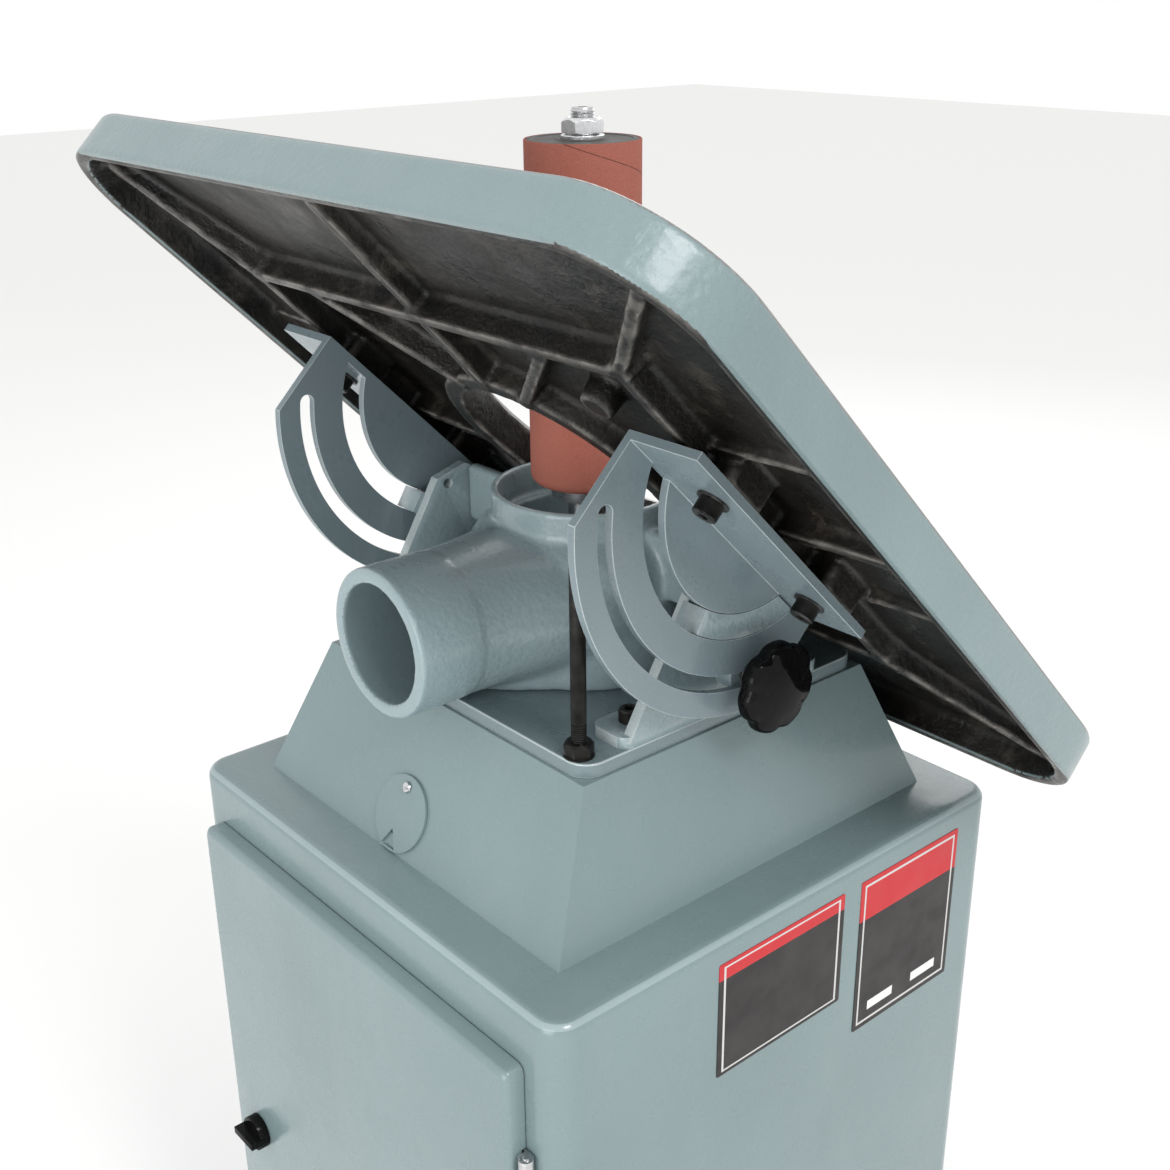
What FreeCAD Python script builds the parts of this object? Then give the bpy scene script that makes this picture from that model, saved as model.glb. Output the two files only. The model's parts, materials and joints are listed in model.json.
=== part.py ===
import FreeCAD, Part
import math
import os
import re
import Sketcher

# Floor-standing oscillating spindle sander with a tilting cast table.
# Frame: origin on the floor under the spindle axis, +Z up, operator's side at -Y,
# dust port at +Y, tilt axis along X.  Millimetres.  The table rests tilted.

V = FreeCAD.Vector
doc = FreeCAD.newDocument("spindle_sander")
sheet = doc.addObject("Spreadsheet::Sheet", "Sheet")

SIZES = [
    # cabinet of bent sheet steel, bolted to the floor through an inward flange
    ("cabinet_width", 428), ("cabinet_depth", 424), ("cabinet_top", 640), ("cabinet_corner", 20),
    ("cabinet_roll", 8), ("sheet_wall", 2), ("base_flange", 45), ("anchor_span_x", 370),
    ("anchor_span_y", 366), ("anchor_radius", 5.5), ("hood_opening", 125),
    # pyramid hood on the cabinet
    ("hood_height", 100), ("hood_low_x", 171), ("hood_low_y", 174), ("hood_top_x", 143.5),
    ("hood_top_y", 131), ("hood_shift_low", -2), ("hood_shift_top", -3.5),
    ("cover_radius", 27), ("cover_thick", 2), ("cover_hole", 17), ("cover_x", 10), ("cover_drop", 81.5),
    ("cover_arm", 19), ("cover_lift", 0.3), ("cover_shank", 2), ("cover_head", 4), ("cover_head_high", 2.4),
    # rear access door
    ("door_half", 186), ("door_top", 602), ("door_low", 70), ("door_proud", 15), ("door_gap", 0.6),
    ("door_inset", 24), ("door_round", 5), ("door_rim", 6), ("hinge_radius", 5), ("hinge_pin", 2.5),
    ("hinge_length", 60), ("hinge_low_z", 130), ("hinge_high_z", 480), ("leaf_width", 12), ("leaf_thick", 2),
    ("latch_radius", 14), ("latch_z", 336), ("latch_inset", 40), ("latch_shank", 5.9), ("cam_width", 12),
    ("cam_reach", 34), ("cam_thick", 3), ("grip_high", 9),
    # machined base plate and the castings on it
    ("plate_thick", 10), ("plate_x", 141.5), ("plate_y", 129), ("plate_corner", 16), ("plate_bore", 31),
    ("port_height", 62), ("port_face", 178), ("port_radius", 50.8), ("port_bore", 40.4),
    ("collar_back", 129), ("collar_step", 1.1), ("bell_radius", 84), ("bell_height", 113), ("bell_round", 30),
    ("ring_radius", 66.5), ("ring_bore", 61.5), ("ring_height", 131), ("chamber_radius", 56),
    ("lug_half", 6), ("lug_low", 70), ("lug_top", 116), ("lug_gap", 0.3),
    # tilt axis and trunnions
    ("pivot_height", 166.5), ("tilt_rest", 45), ("plate_in", 156), ("plate_out", 162),
    ("trunnion_radius", 148), ("trunnion_half", 113), ("flange_front", 98), ("flange_edge", 214),
    ("flange_low", 37), ("flange_top", 31), ("slot_in", 120.25), ("slot_out", 131.25),
    ("slot_half_angle", 51.5), ("crescent_in", 79), ("crescent_out", 96.5), ("key_clear", 0.5),
    ("key_rear", 58), ("key_front", 114), ("web_in", 134), ("web_out", 142), ("stud_arc", 125.75),
    ("screw_x", 192), ("screw_s", 62), ("foot_in", 108), ("foot_high", 8), ("foot_rear", 92),
    ("foot_front", 92), ("foot_round", 9), ("foot_screw_in", 15), ("foot_screw_rear", 71),
    ("foot_screw_front", 68), ("bracket_hole", 4), ("bracket_hole_z", 103), ("bracket_hole_y", 22.5),
    # screws: shank, clearance, heads
    ("screw_shank", 4), ("screw_hole", 4.5), ("screw_head", 6.5), ("screw_high", 8), ("screw_length", 20),
    ("foot_head", 7), ("foot_head_high", 9), ("foot_screw_length", 18), ("table_head", 8),
    ("table_head_high", 10), ("screw_washer", 10.5),
    ("screw_washer_thick", 1.6), ("guide_screw", 37.5),
    # cast table
    ("table_size", 609), ("table_shift", -7), ("table_above", 3), ("table_below", 31),
    ("table_corner", 78), ("table_inner_corner", 68), ("table_wall", 10), ("table_deck", 12),
    ("table_hole", 84), ("pad_half", 20),
    ("hub_wall", 15), ("hub_low", 25), ("insert_radius", 93), ("insert_depth", 4),
    ("rib_thick", 9), ("rib_low", 27), ("rib_frame_x", 186), ("rib_frame_s", 168),
    # table locks
    ("stud_radius", 5), ("stud_length", 46), ("lock_boss", 13), ("lock_washer", 11),
    ("lock_washer_thick", 2), ("knob_radius", 31), ("knob_thick", 18), ("knob_lobe", 9),
    ("knob_neck", 11), ("neck_radius", 11), ("knob_bore_deep", 15),
    # positive stop
    ("stop_x", -125), ("stop_y", 115), ("stop_radius", 5), ("stop_top", 142), ("stop_flat", 17),
    ("stop_nut_high", 8), ("stop_rim", 10), ("stop_rim_high", 2), ("stop_pad", 13),
    # drum and spindle
    ("drum_radius", 38.1), ("sleeve_wall", 1.2), ("drum_low", 134), ("drum_length", 228.6),
    ("drum_round", 7), ("shaft_radius", 12.5), ("arbor_radius", 9.5), ("thread_radius", 8),
    ("nut_flat", 24), ("nut_high", 13), ("washer_thick", 4), ("stud_proud", 6), ("shaft_low", 400),
    # quill and its guide
    ("quill_radius", 30), ("quill_bore", 23.5), ("quill_low", 580), ("quill_high", 775),
    ("bearing_high", 12), ("guide_radius", 45), ("guide_flange", 62), ("guide_low", 618),
    ("run_clear", 0.05), ("stroke_half", 12.7),
    # drive unit
    ("tube_radius", 17.5), ("tube_low", 405), ("tube_high", 562), ("box_low", 448), ("box_high", 558),
    ("box_half", 42), ("box_wall", 6), ("pulley_radius", 42), ("pulley_high", 22), ("pulley_low", 408),
    ("groove_radius", 30), ("groove_half", 6.6), ("belt_half", 6), ("belt_in", 30.4), ("belt_out", 40),
    ("wheel_pitch", 30), ("wheel_height", 503), ("wheel_thick", 14), ("worm_root", 17.7),
    ("worm_pitch", 21), ("worm_lead", 7.854), ("crank_disc", 22), ("rod_length", 92), ("rod_thick", 8),
    ("rod_eye", 12), ("pin_radius", 5),
    # motor
    ("motor_y", -128), ("motor_radius", 72), ("motor_low", 130), ("motor_high", 370),
    ("motor_shaft_radius", 9.5), ("rotor_radius", 44), ("stator_bore", 45), ("bell_high", 20),
    ("motor_bolt_x", 48), ("motor_bolt_low", 45), ("motor_bolt_high", 195), ("bolt_hole", 4.2),
    ("bolt_shank", 4), ("bolt_head", 8), ("bolt_head_high", 4),
    # switch box, buttons, cable gland and the two foils
    ("switch_x", -90), ("switch_z", 560), ("switch_width", 78), ("switch_high", 112), ("switch_deep", 38),
    ("button_radius", 11), ("button_well", 11.3), ("well_deep", 14), ("button_deep", 8),
    ("button_pitch", 24), ("start_proud", 2), ("stop_proud", 7), ("gland_y", -90), ("gland_z", 110),
    ("gland_radius", 9), ("gland_length", 26), ("gland_flats", 24), ("cord_radius", 5), ("foil_thick", 0.6),
    ("data_y", -170), ("data_drop", 244), ("data_width", 108), ("data_high", 126), ("notice_y", -44),
    ("notice_drop", 206), ("notice_width", 121), ("notice_high", 88),
]

for row, (alias, value) in enumerate(SIZES, start=1):
    sheet.set("A%d" % row, alias)
    sheet.set("B%d" % row, str(value))
    sheet.setAlias("B%d" % row, alias)
doc.recompute()

WORD = re.compile(r"[a-z]+(?:_[a-z]+)+")
NAMES = set(alias for alias, value in SIZES)


def bound(text):
    """The formula with each alias written as a cell of the sheet."""
    return WORD.sub(lambda m: "Sheet." + m.group(0) if m.group(0) in NAMES else m.group(0), str(text))


def val(name):
    return float(sheet.get(name))


ABOUT_X = FreeCAD.Rotation(V(0, 1, 0), 90)      # a cylinder's height runs along +X
ABOUT_Y = FreeCAD.Rotation(V(1, 0, 0), -90)     # a cylinder's height runs along +Y
TURN = {"X": ABOUT_X, "Y": ABOUT_Y, "Z": FreeCAD.Rotation()}


def place(thing, at, rotation=None):
    """Put a thing at a point given as three formulas."""
    if rotation is not None:
        thing.Placement = FreeCAD.Placement(V(), rotation)
    for axis, text in zip("xyz", at):
        thing.setExpression("Placement.Base." + axis, bound(text))
    return thing


def block(name, low, size):
    thing = doc.addObject("Part::Box", name)
    for side, text in zip(("Length", "Width", "Height"), size):
        thing.setExpression(side, bound(text))
    return place(thing, low)


def rod(name, radius, height, at, axis="Z", sweep=None, start=0):
    """Cylinder from `at` along an axis; `sweep` degrees of it from angle `start` about +X."""
    thing = doc.addObject("Part::Cylinder", name)
    thing.setExpression("Radius", bound(radius))
    thing.setExpression("Height", bound(height))
    rotation = TURN[axis]
    if sweep is not None:
        thing.setExpression("Angle", bound(sweep))
        c, s = math.cos(math.radians(start)), math.sin(math.radians(start))
        rotation = FreeCAD.Rotation(V(0, c, s), V(0, -s, c), V(1, 0, 0), "ZXY")
    return place(thing, at, rotation)


def hexagon(name, flats, height, at, axis="Z"):
    thing = doc.addObject("Part::Prism", name)
    thing.Polygon = 6
    thing.setExpression("Circumradius", bound("(%s) / 2 / cos(30)" % flats))
    thing.setExpression("Height", bound(height))
    return place(thing, at, TURN[axis])


def fuse(name, parts):
    thing = doc.addObject("Part::MultiFuse", name)
    thing.Shapes = parts
    thing.Refine = True
    return thing


def group(name, parts):
    """Identical pieces kept apart in one node."""
    thing = doc.addObject("Part::Compound", name)
    thing.Links = parts
    return thing


def cut(name, base, tools):
    tool = tools[0] if len(tools) == 1 else fuse(name + "_tools", tools)
    thing = doc.addObject("Part::Cut", name)
    thing.Base = base
    thing.Tool = tool
    thing.Refine = True
    return thing


def common(name, base, tool):
    thing = doc.addObject("Part::Common", name)
    thing.Base = base
    thing.Tool = tool
    return thing


def rounded(name, base, radius, wanted):
    """Fillet the edges of `base` for which wanted(edge) is true."""
    doc.recompute()
    thing = doc.addObject("Part::Fillet", name)
    thing.Base = base
    picks = [i for i, edge in enumerate(base.Shape.Edges, start=1) if wanted(edge)]
    thing.Edges = [(i, val(radius), val(radius)) for i in picks]
    return thing


def upright(edge):
    a, b = edge.Vertexes[0].Point, edge.Vertexes[-1].Point
    return abs(a.x - b.x) < 1e-6 and abs(a.y - b.y) < 1e-6 and abs(a.z - b.z) > 1e-6


def lies_at(z):
    """Test for edges that lie wholly at one height."""
    return lambda edge: all(abs(p.Point.z - z) < 1e-4 for p in edge.Vertexes)


def turned(name, profile, at=("0", "0", "0"), axis="Z"):
    """PartDesign revolution of a closed outline of (radius, height) formulas about its own axis."""
    body = doc.addObject("PartDesign::Body", name)
    sketch = polygon(body, "XZ_Plane", profile)
    spin = body.newObject("PartDesign::Revolution", name + "_turn")
    spin.Profile = sketch
    spin.ReferenceAxis = (sketch, ["V_Axis"])
    spin.Angle = 360
    body.Tip = spin
    return place(body, at, TURN[axis])


def polygon(body, role, corners, offset="0"):
    """Closed polygon sketch on one of the body's origin planes; each corner is a pair of formulas."""
    plane = next(f for f in body.Origin.OriginFeatures if f.Role == role)
    sketch = body.newObject("Sketcher::SketchObject", body.Name + "_outline")
    sketch.AttachmentSupport = [(plane, "")]
    sketch.MapMode = "FlatFace"
    sketch.setExpression("AttachmentOffset.Base.z", bound(offset))
    points = [V(number(x), number(y), 0) for x, y in corners]
    count = len(points)
    for i in range(count):
        sketch.addGeometry(Part.LineSegment(points[i], points[(i + 1) % count]))
    for i in range(count):
        sketch.addConstraint(Sketcher.Constraint("Coincident", i, 2, (i + 1) % count, 1))
    for i, (corner, point) in enumerate(zip(corners, points)):
        pairs = (("DistanceX", corner[0], point.x, -2), ("DistanceY", corner[1], point.y, -1))
        for kind, text, value, other in pairs:
            if abs(value) < 1e-9:
                sketch.addConstraint(Sketcher.Constraint("PointOnObject", i, 1, other))
                continue
            index = sketch.addConstraint(Sketcher.Constraint(kind, -1, 1, i, 1, value))
            sketch.setExpression("Constraints[%d]" % index, bound(text))
    return sketch


def number(text):
    """Value of a formula over the sheet's aliases."""
    probe.setExpression("answer", bound(text))
    probe.recompute()
    return float(probe.answer)


def slab(name, role, corners, offset, thick, at=("0", "0", "0")):
    """PartDesign pad of a polygon: `thick` deep from `offset` along the plane's normal."""
    body = doc.addObject("PartDesign::Body", name)
    sketch = polygon(body, role, corners, offset)
    pad = body.newObject("PartDesign::Pad", name + "_pad")
    pad.Profile = sketch
    pad.setExpression("Length", bound(thick))
    body.Tip = pad
    return place(body, at)


def tilted(thing):
    """Carry a piece drawn about the tilt axis to the resting table."""
    thing.Placement = FreeCAD.Placement(V(0, 0, 0), FreeCAD.Rotation(V(1, 0, 0), val("tilt_rest")))
    thing.setExpression("Placement.Base.z", bound("cabinet_top + hood_height + pivot_height"))
    thing.setExpression("Placement.Rotation.Angle", bound("tilt_rest"))
    return thing


nodes = {}


def node(name, thing):
    thing.Label = name
    nodes[name] = thing
    return thing


probe = doc.addObject("App::FeaturePython", "probe")
probe.addProperty("App::PropertyFloat", "answer")
DECK = "cabinet_top + hood_height"              # underside of the base plate
FLOOR = "cabinet_top + hood_height + plate_thick"   # top of the base plate
FOOT_TOP = "cabinet_top + hood_height + plate_thick + foot_high"
PIVOT = "cabinet_top + hood_height + pivot_height"
KNOB_LOBES = 7
SIDES = (-1, 1)
CORNERS = [(sx, sy) for sx in SIDES for sy in SIDES]
FOOT_SCREWS = [("%d * (foot_in + foot_screw_in)" % sx, y, FOOT_TOP)
               for sx in SIDES for y in ("foot_screw_rear", "-foot_screw_front")]
GUIDE_SCREWS = [("%d * guide_screw" % sx, "%d * guide_screw" % sy, DECK + " - 12") for sx, sy in CORNERS]
MOTOR_BOLTS = [("%d * motor_bolt_x" % sx, "motor_low + " + up)
               for sx in SIDES for up in ("motor_bolt_low", "motor_bolt_high")]


# ---------------------------------------------------------------- cabinet and hood

def make_cabinet():
    """Bent sheet cabinet: open below with an inward flange, open to the hood and the rear door."""
    outer = block("cab_outer", ("-cabinet_width / 2", "-cabinet_depth / 2", "0"),
                  ("cabinet_width", "cabinet_depth", "cabinet_top"))
    outer = rounded("cab_outer_r", outer, "cabinet_corner", upright)
    outer = rounded("cab_outer_t", outer, "cabinet_roll", lies_at(val("cabinet_top")))
    inner = block("cab_inner",
                  ("-cabinet_width / 2 + sheet_wall", "-cabinet_depth / 2 + sheet_wall", "sheet_wall"),
                  ("cabinet_width - 2 * sheet_wall", "cabinet_depth - 2 * sheet_wall",
                   "cabinet_top - 2 * sheet_wall"))
    inner = rounded("cab_inner_r", inner, "cabinet_corner", upright)
    floor_gap = block("cab_floor_gap",
                      ("-cabinet_width / 2 + base_flange", "-cabinet_depth / 2 + base_flange", "-1"),
                      ("cabinet_width - 2 * base_flange", "cabinet_depth - 2 * base_flange",
                       "sheet_wall + 2"))
    top_gap = block("cab_top_gap", ("-hood_opening", "-hood_opening", "cabinet_top - 2 * sheet_wall"),
                    ("2 * hood_opening", "2 * hood_opening", "4 * sheet_wall"))
    door_gap = block("cab_door_gap", ("-door_half + door_inset", "cabinet_depth / 2 - 2 * sheet_wall",
                                      "door_low + door_inset"),
                     ("2 * (door_half - door_inset)", "4 * sheet_wall",
                      "door_top - door_low - 2 * door_inset"))
    holes = [rod("cab_anchor", "anchor_radius", "sheet_wall + 2",
                 ("%d * anchor_span_x / 2" % sx, "%d * anchor_span_y / 2" % sy, "-1"))
             for sx, sy in CORNERS]
    holes += [rod("cab_motor_hole", "bolt_hole", "10", (x, "-cabinet_depth / 2 - 5", z), "Y")
              for x, z in MOTOR_BOLTS]
    holes.append(rod("cab_gland_hole", "gland_radius", "20",
                     ("cabinet_width / 2 - 10", "gland_y", "gland_z"), "X"))
    shell = cut("cabinet_cut", outer, [inner, floor_gap, top_gap, door_gap] + holes)
    node("cabinet_shell", group("cabinet_panels", cabinet_panels(shell)))


def cabinet_panels(shell):
    """The cabinet's welded sheets: floor flange, top, front, rear frame and two sides."""
    wide, deep = "cabinet_width / 2", "cabinet_depth / 2"
    across, along = ("-" + wide, wide), ("-" + deep, deep)
    front, rear = "-cabinet_depth / 2 + cabinet_corner + 2", "cabinet_depth / 2 - cabinet_corner - 2"
    walls = ("sheet_wall", "cabinet_top - cabinet_roll")
    spans = {
        "flange": (across, along, ("0", "sheet_wall")),
        "top": (across, along, (walls[1], "cabinet_top")),
        "front": (across, ("-" + deep, front), walls),
        "rear": (across, (rear, deep), walls),
        "side_a": (("-" + wide, "0"), (front, rear), walls),
        "side_b": (("0", wide), (front, rear), walls),
    }
    panels = []
    for name, span in spans.items():
        region = block("cab_region_" + name, [low for low, top in span],
                       ["(%s) - (%s)" % (top, low) for low, top in span])
        panels.append(common("cab_panel_" + name, shell, region))
    return panels


def pyramid(name, inset, low, high):
    """Truncated pyramid with the hood's slopes, moved in by `inset`, between two heights."""
    thing = doc.addObject("Part::Wedge", name)
    formulas = {
        "Xmin": "-hood_low_x + %s" % inset, "Xmax": "hood_low_x - %s" % inset,
        "X2min": "-hood_top_x + %s" % inset, "X2max": "hood_top_x - %s" % inset,
        "Zmin": "-hood_low_y - hood_shift_low + %s" % inset,
        "Zmax": "hood_low_y - hood_shift_low - %s" % inset,
        "Z2min": "-hood_top_y - hood_shift_top + %s" % inset,
        "Z2max": "hood_top_y - hood_shift_top - %s" % inset,
        "Ymin": low, "Ymax": high,
    }
    for key, text in formulas.items():
        thing.setExpression(key, bound(text))
    thing.Placement = FreeCAD.Placement(V(), FreeCAD.Rotation(V(1, 0, 0), 90))
    return thing


def hood_slope():
    """Unit vectors of the hood's rear face: outward normal and up-slope."""
    run = (val("hood_low_y") + val("hood_shift_low")) - (val("hood_top_y") + val("hood_shift_top"))
    rise = val("hood_height")
    length = math.hypot(run, rise)
    return V(0, rise / length, run / length), V(0, -run / length, rise / length)


def on_hood(x, drop, lift):
    """Point on the hood's rear face: `drop` down the slope from its top edge, `lift` off it."""
    out, up = hood_slope()
    top = V(x, val("hood_top_y") + val("hood_shift_top"), val("cabinet_top") + val("hood_height"))
    return top - up * drop + out * lift


def hood_disc(name, radius, height, x, drop, lift):
    thing = doc.addObject("Part::Cylinder", name)
    thing.setExpression("Radius", bound(radius))
    thing.setExpression("Height", bound(height))
    out, up = hood_slope()
    turn = FreeCAD.Rotation(V(1, 0, 0), up, out, "ZXY")
    thing.Placement = FreeCAD.Placement(on_hood(x, drop, lift), turn)
    return thing


def make_hood():
    """Sheet hood with an inspection hole in its rear face under a swinging round cover."""
    outer = pyramid("hood_outer", "0", "cabinet_top", "cabinet_top + hood_height")
    inner = pyramid("hood_inner", "sheet_wall", "cabinet_top - 0.01", DECK + " - sheet_wall")
    way = rod("hood_top_hole", "guide_flange + 4", "20", ("0", "0", DECK + " - 10"))
    x, drop = val("cover_x"), val("cover_drop")
    pin = drop - val("cover_arm")
    hole = hood_disc("hood_hole", "cover_hole", "20", x, drop, -10)
    screw_hole = hood_disc("hood_screw_hole", "cover_shank + 0.1", "20", x, pin, -10)
    node("hood_shell", cut("hood_cut", outer, [inner, way, hole, screw_hole]))
    disc = hood_disc("cover_disc", "cover_radius", "cover_thick", x, drop, val("cover_lift"))
    bore = hood_disc("cover_bore", "cover_shank + 0.1", "20", x, pin, -10)
    node("hood_cover", cut("hood_cover_cut", disc, [bore]))
    shank = hood_disc("cover_screw_shank", "cover_shank", "12", x, pin, -9)
    seat = val("cover_lift") + val("cover_thick") + 0.3
    head = hood_disc("cover_screw_head", "cover_head", "cover_head_high", x, pin, seat)
    node("hood_cover_screw", fuse("hood_screw", [shank, head]))


def make_door():
    """Shallow pan door on the rear, hung on two pin hinges at its -X side, with a turning latch."""
    face = "cabinet_depth / 2 + door_gap"
    pan = block("door_pan", ("-door_half", face, "door_low"),
                ("2 * door_half", "door_proud - door_gap", "door_top - door_low"))
    back = val("cabinet_depth") / 2 + val("door_gap")
    pan = rounded("door_round_edges", pan, "door_round",
                  lambda e: not all(abs(p.Point.y - back) < 1e-4 for p in e.Vertexes))
    hollow = block("door_hollow", ("-door_half + door_rim", face + " - 1", "door_low + door_rim"),
                   ("2 * (door_half - door_rim)", "door_proud - door_gap - sheet_wall + 1",
                    "door_top - door_low - 2 * door_rim"))
    latch_hole = rod("door_latch_hole", "latch_shank + 0.1", "40",
                     ("door_half - latch_inset", "cabinet_depth / 2 - 5", "latch_z"), "Y")
    relief, leaves, knuckles = [], [], []
    for tag, low in (("low", "hinge_low_z"), ("high", "hinge_high_z")):
        room, moving, fixed = make_hinge(tag, low, face)
        relief.append(room)
        knuckles.append(moving)
        leaves.append(fixed)
    node("access_door", cut("door_cut", pan, [hollow, latch_hole] + relief))
    node("door_hinge_leaves", group("door_leaves", knuckles))
    node("cabinet_hinges", group("cabinet_leaves", leaves))
    make_latch()


def make_hinge(tag, low, face):
    """One pin hinge: room for its leaf in the door, the door's leaf, and the cabinet's leaf with the pin."""
    x_pin, y_pin = "-door_half - hinge_radius - 1.5", "cabinet_depth / 2 + hinge_radius + 1"
    half = "hinge_length / 2 - 0.3"
    middle = low + " + hinge_length / 2 + 0.3"
    leaf = block("leaf_" + tag, (x_pin, "cabinet_depth / 2 + 0.9", middle),
                 ("leaf_width", "leaf_thick", half))
    knuckle = rod("knuckle_" + tag, "hinge_radius", half, (x_pin, y_pin, middle))
    bore = rod("knuckle_bore_" + tag, "hinge_pin + run_clear", "hinge_length", (x_pin, y_pin, low))
    moving = cut("door_knuckle_" + tag, fuse("door_leaf_" + tag, [leaf, knuckle]), [bore])
    room = block("leaf_room_" + tag, ("-door_half - 1", face + " - 1", middle),
                 ("leaf_width", "leaf_thick + 1.4", half))
    barrel = rod("fixed_knuckle_" + tag, "hinge_radius", half, (x_pin, y_pin, low))
    plate = block("fixed_leaf_" + tag, (x_pin + " - leaf_width - 1", "cabinet_depth / 2", low),
                  ("leaf_width + 1", "1.5", half))
    pin = rod("hinge_pin_" + tag, "hinge_pin", "hinge_length + 2", (x_pin, y_pin, low + " - 1"))
    return room, moving, fuse("fixed_hinge_" + tag, [barrel, plate, pin])


def make_latch():
    """Quarter-turn latch: knob with a grip, shank through the door, and a cam behind the cabinet's sheet."""
    x, wall = "door_half - latch_inset", "cabinet_depth / 2"
    barrel = rod("latch_barrel", "latch_shank", "door_proud + 4", (x, wall + " - 1", "latch_z"), "Y")
    knob = rod("latch_knob", "latch_radius", "8", (x, wall + " + door_proud + 0.4", "latch_z"), "Y")
    grip = block("latch_grip", (x + " - latch_radius", wall + " + door_proud + 8", "latch_z - 3"),
                 ("2 * latch_radius", "grip_high", "6"))
    cam = block("latch_cam", (x + " - cam_width / 2", wall + " - cam_thick - 3.4", "latch_z - cam_width / 2"),
                ("cam_width", "cam_thick", "cam_reach + cam_width / 2"))
    stem = rod("latch_stem", "latch_shank - 1.9", "8", (x, wall + " - 6", "latch_z"), "Y")
    node("door_latch", fuse("latch", [barrel, knob, grip, cam, stem]))


def make_switch():
    """Magnetic switch box on the operator's side with a flush start and a proud stop button."""
    face = "-cabinet_depth / 2 - switch_deep"
    low = ("switch_x - switch_width / 2", face, "switch_z - switch_high / 2")
    shell = block("switch_shell", low, ("switch_width", "switch_deep", "switch_high"))
    shell = rounded("switch_round", shell, "door_round",
                    lambda e: not all(abs(p.Point.y + val("cabinet_depth") / 2) < 1e-4 for p in e.Vertexes))
    wells = []
    for sign, label, proud in ((1, "start_button", "start_proud"), (-1, "stop_button", "stop_proud")):
        z = "switch_z + %d * button_pitch" % sign
        wells.append(rod(label + "_well", "button_well", "well_deep + 1",
                         ("switch_x", face + " - 1", z), "Y"))
        cap = rod(label + "_cap", "button_radius", "button_deep + " + proud,
                  ("switch_x", face + " - " + proud, z), "Y")
        front = -val("cabinet_depth") / 2 - val("switch_deep")
        node(label, rounded(label + "_round", cap, "sheet_wall",
                            lambda e: all(p.Point.y < front for p in e.Vertexes)))
    node("switch_box", cut("switch_cut", shell, wells))


def make_gland():
    barrel = rod("gland_barrel", "gland_radius", "gland_length",
                 ("cabinet_width / 2 - 8", "gland_y", "gland_z"), "X")
    hexes = hexagon("gland_hex", "gland_flats", "8", ("cabinet_width / 2", "gland_y", "gland_z"), "X")
    bore = rod("gland_bore", "cord_radius", "40", ("cabinet_width / 2 - 10", "gland_y", "gland_z"), "X")
    node("cord_gland", cut("gland_cut", fuse("gland_body", [barrel, hexes]), [bore]))


def make_foils():
    for name in ("data", "notice"):
        low = ("-cabinet_width / 2 - foil_thick", name + "_y", DECK + " - %s_drop" % name)
        size = ("foil_thick", name + "_width", name + "_high")
        node(name + "_plate", block(name + "_plate_sheet", low, size))


# ---------------------------------------------------------------- castings on the hood

def make_base_plate():
    plate = block("plate_block", ("-plate_x", "hood_shift_top - plate_y", DECK),
                  ("2 * plate_x", "2 * plate_y", "plate_thick"))
    plate = rounded("plate_round", plate, "plate_corner", upright)
    tools = [rod("plate_hole", "plate_bore", "plate_thick + 2", ("0", "0", DECK + " - 1")),
             rod("plate_stop_tap", "stop_radius", "plate_thick + 2", ("stop_x", "stop_y", DECK + " - 1"))]
    for i, (x, y, z) in enumerate(FOOT_SCREWS + GUIDE_SCREWS):
        tools.append(rod("plate_tap_%d" % i, "screw_shank", "plate_thick + 2", (x, y, DECK + " - 1")))
    node("base_plate", cut("plate_cut", plate, tools))


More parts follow.
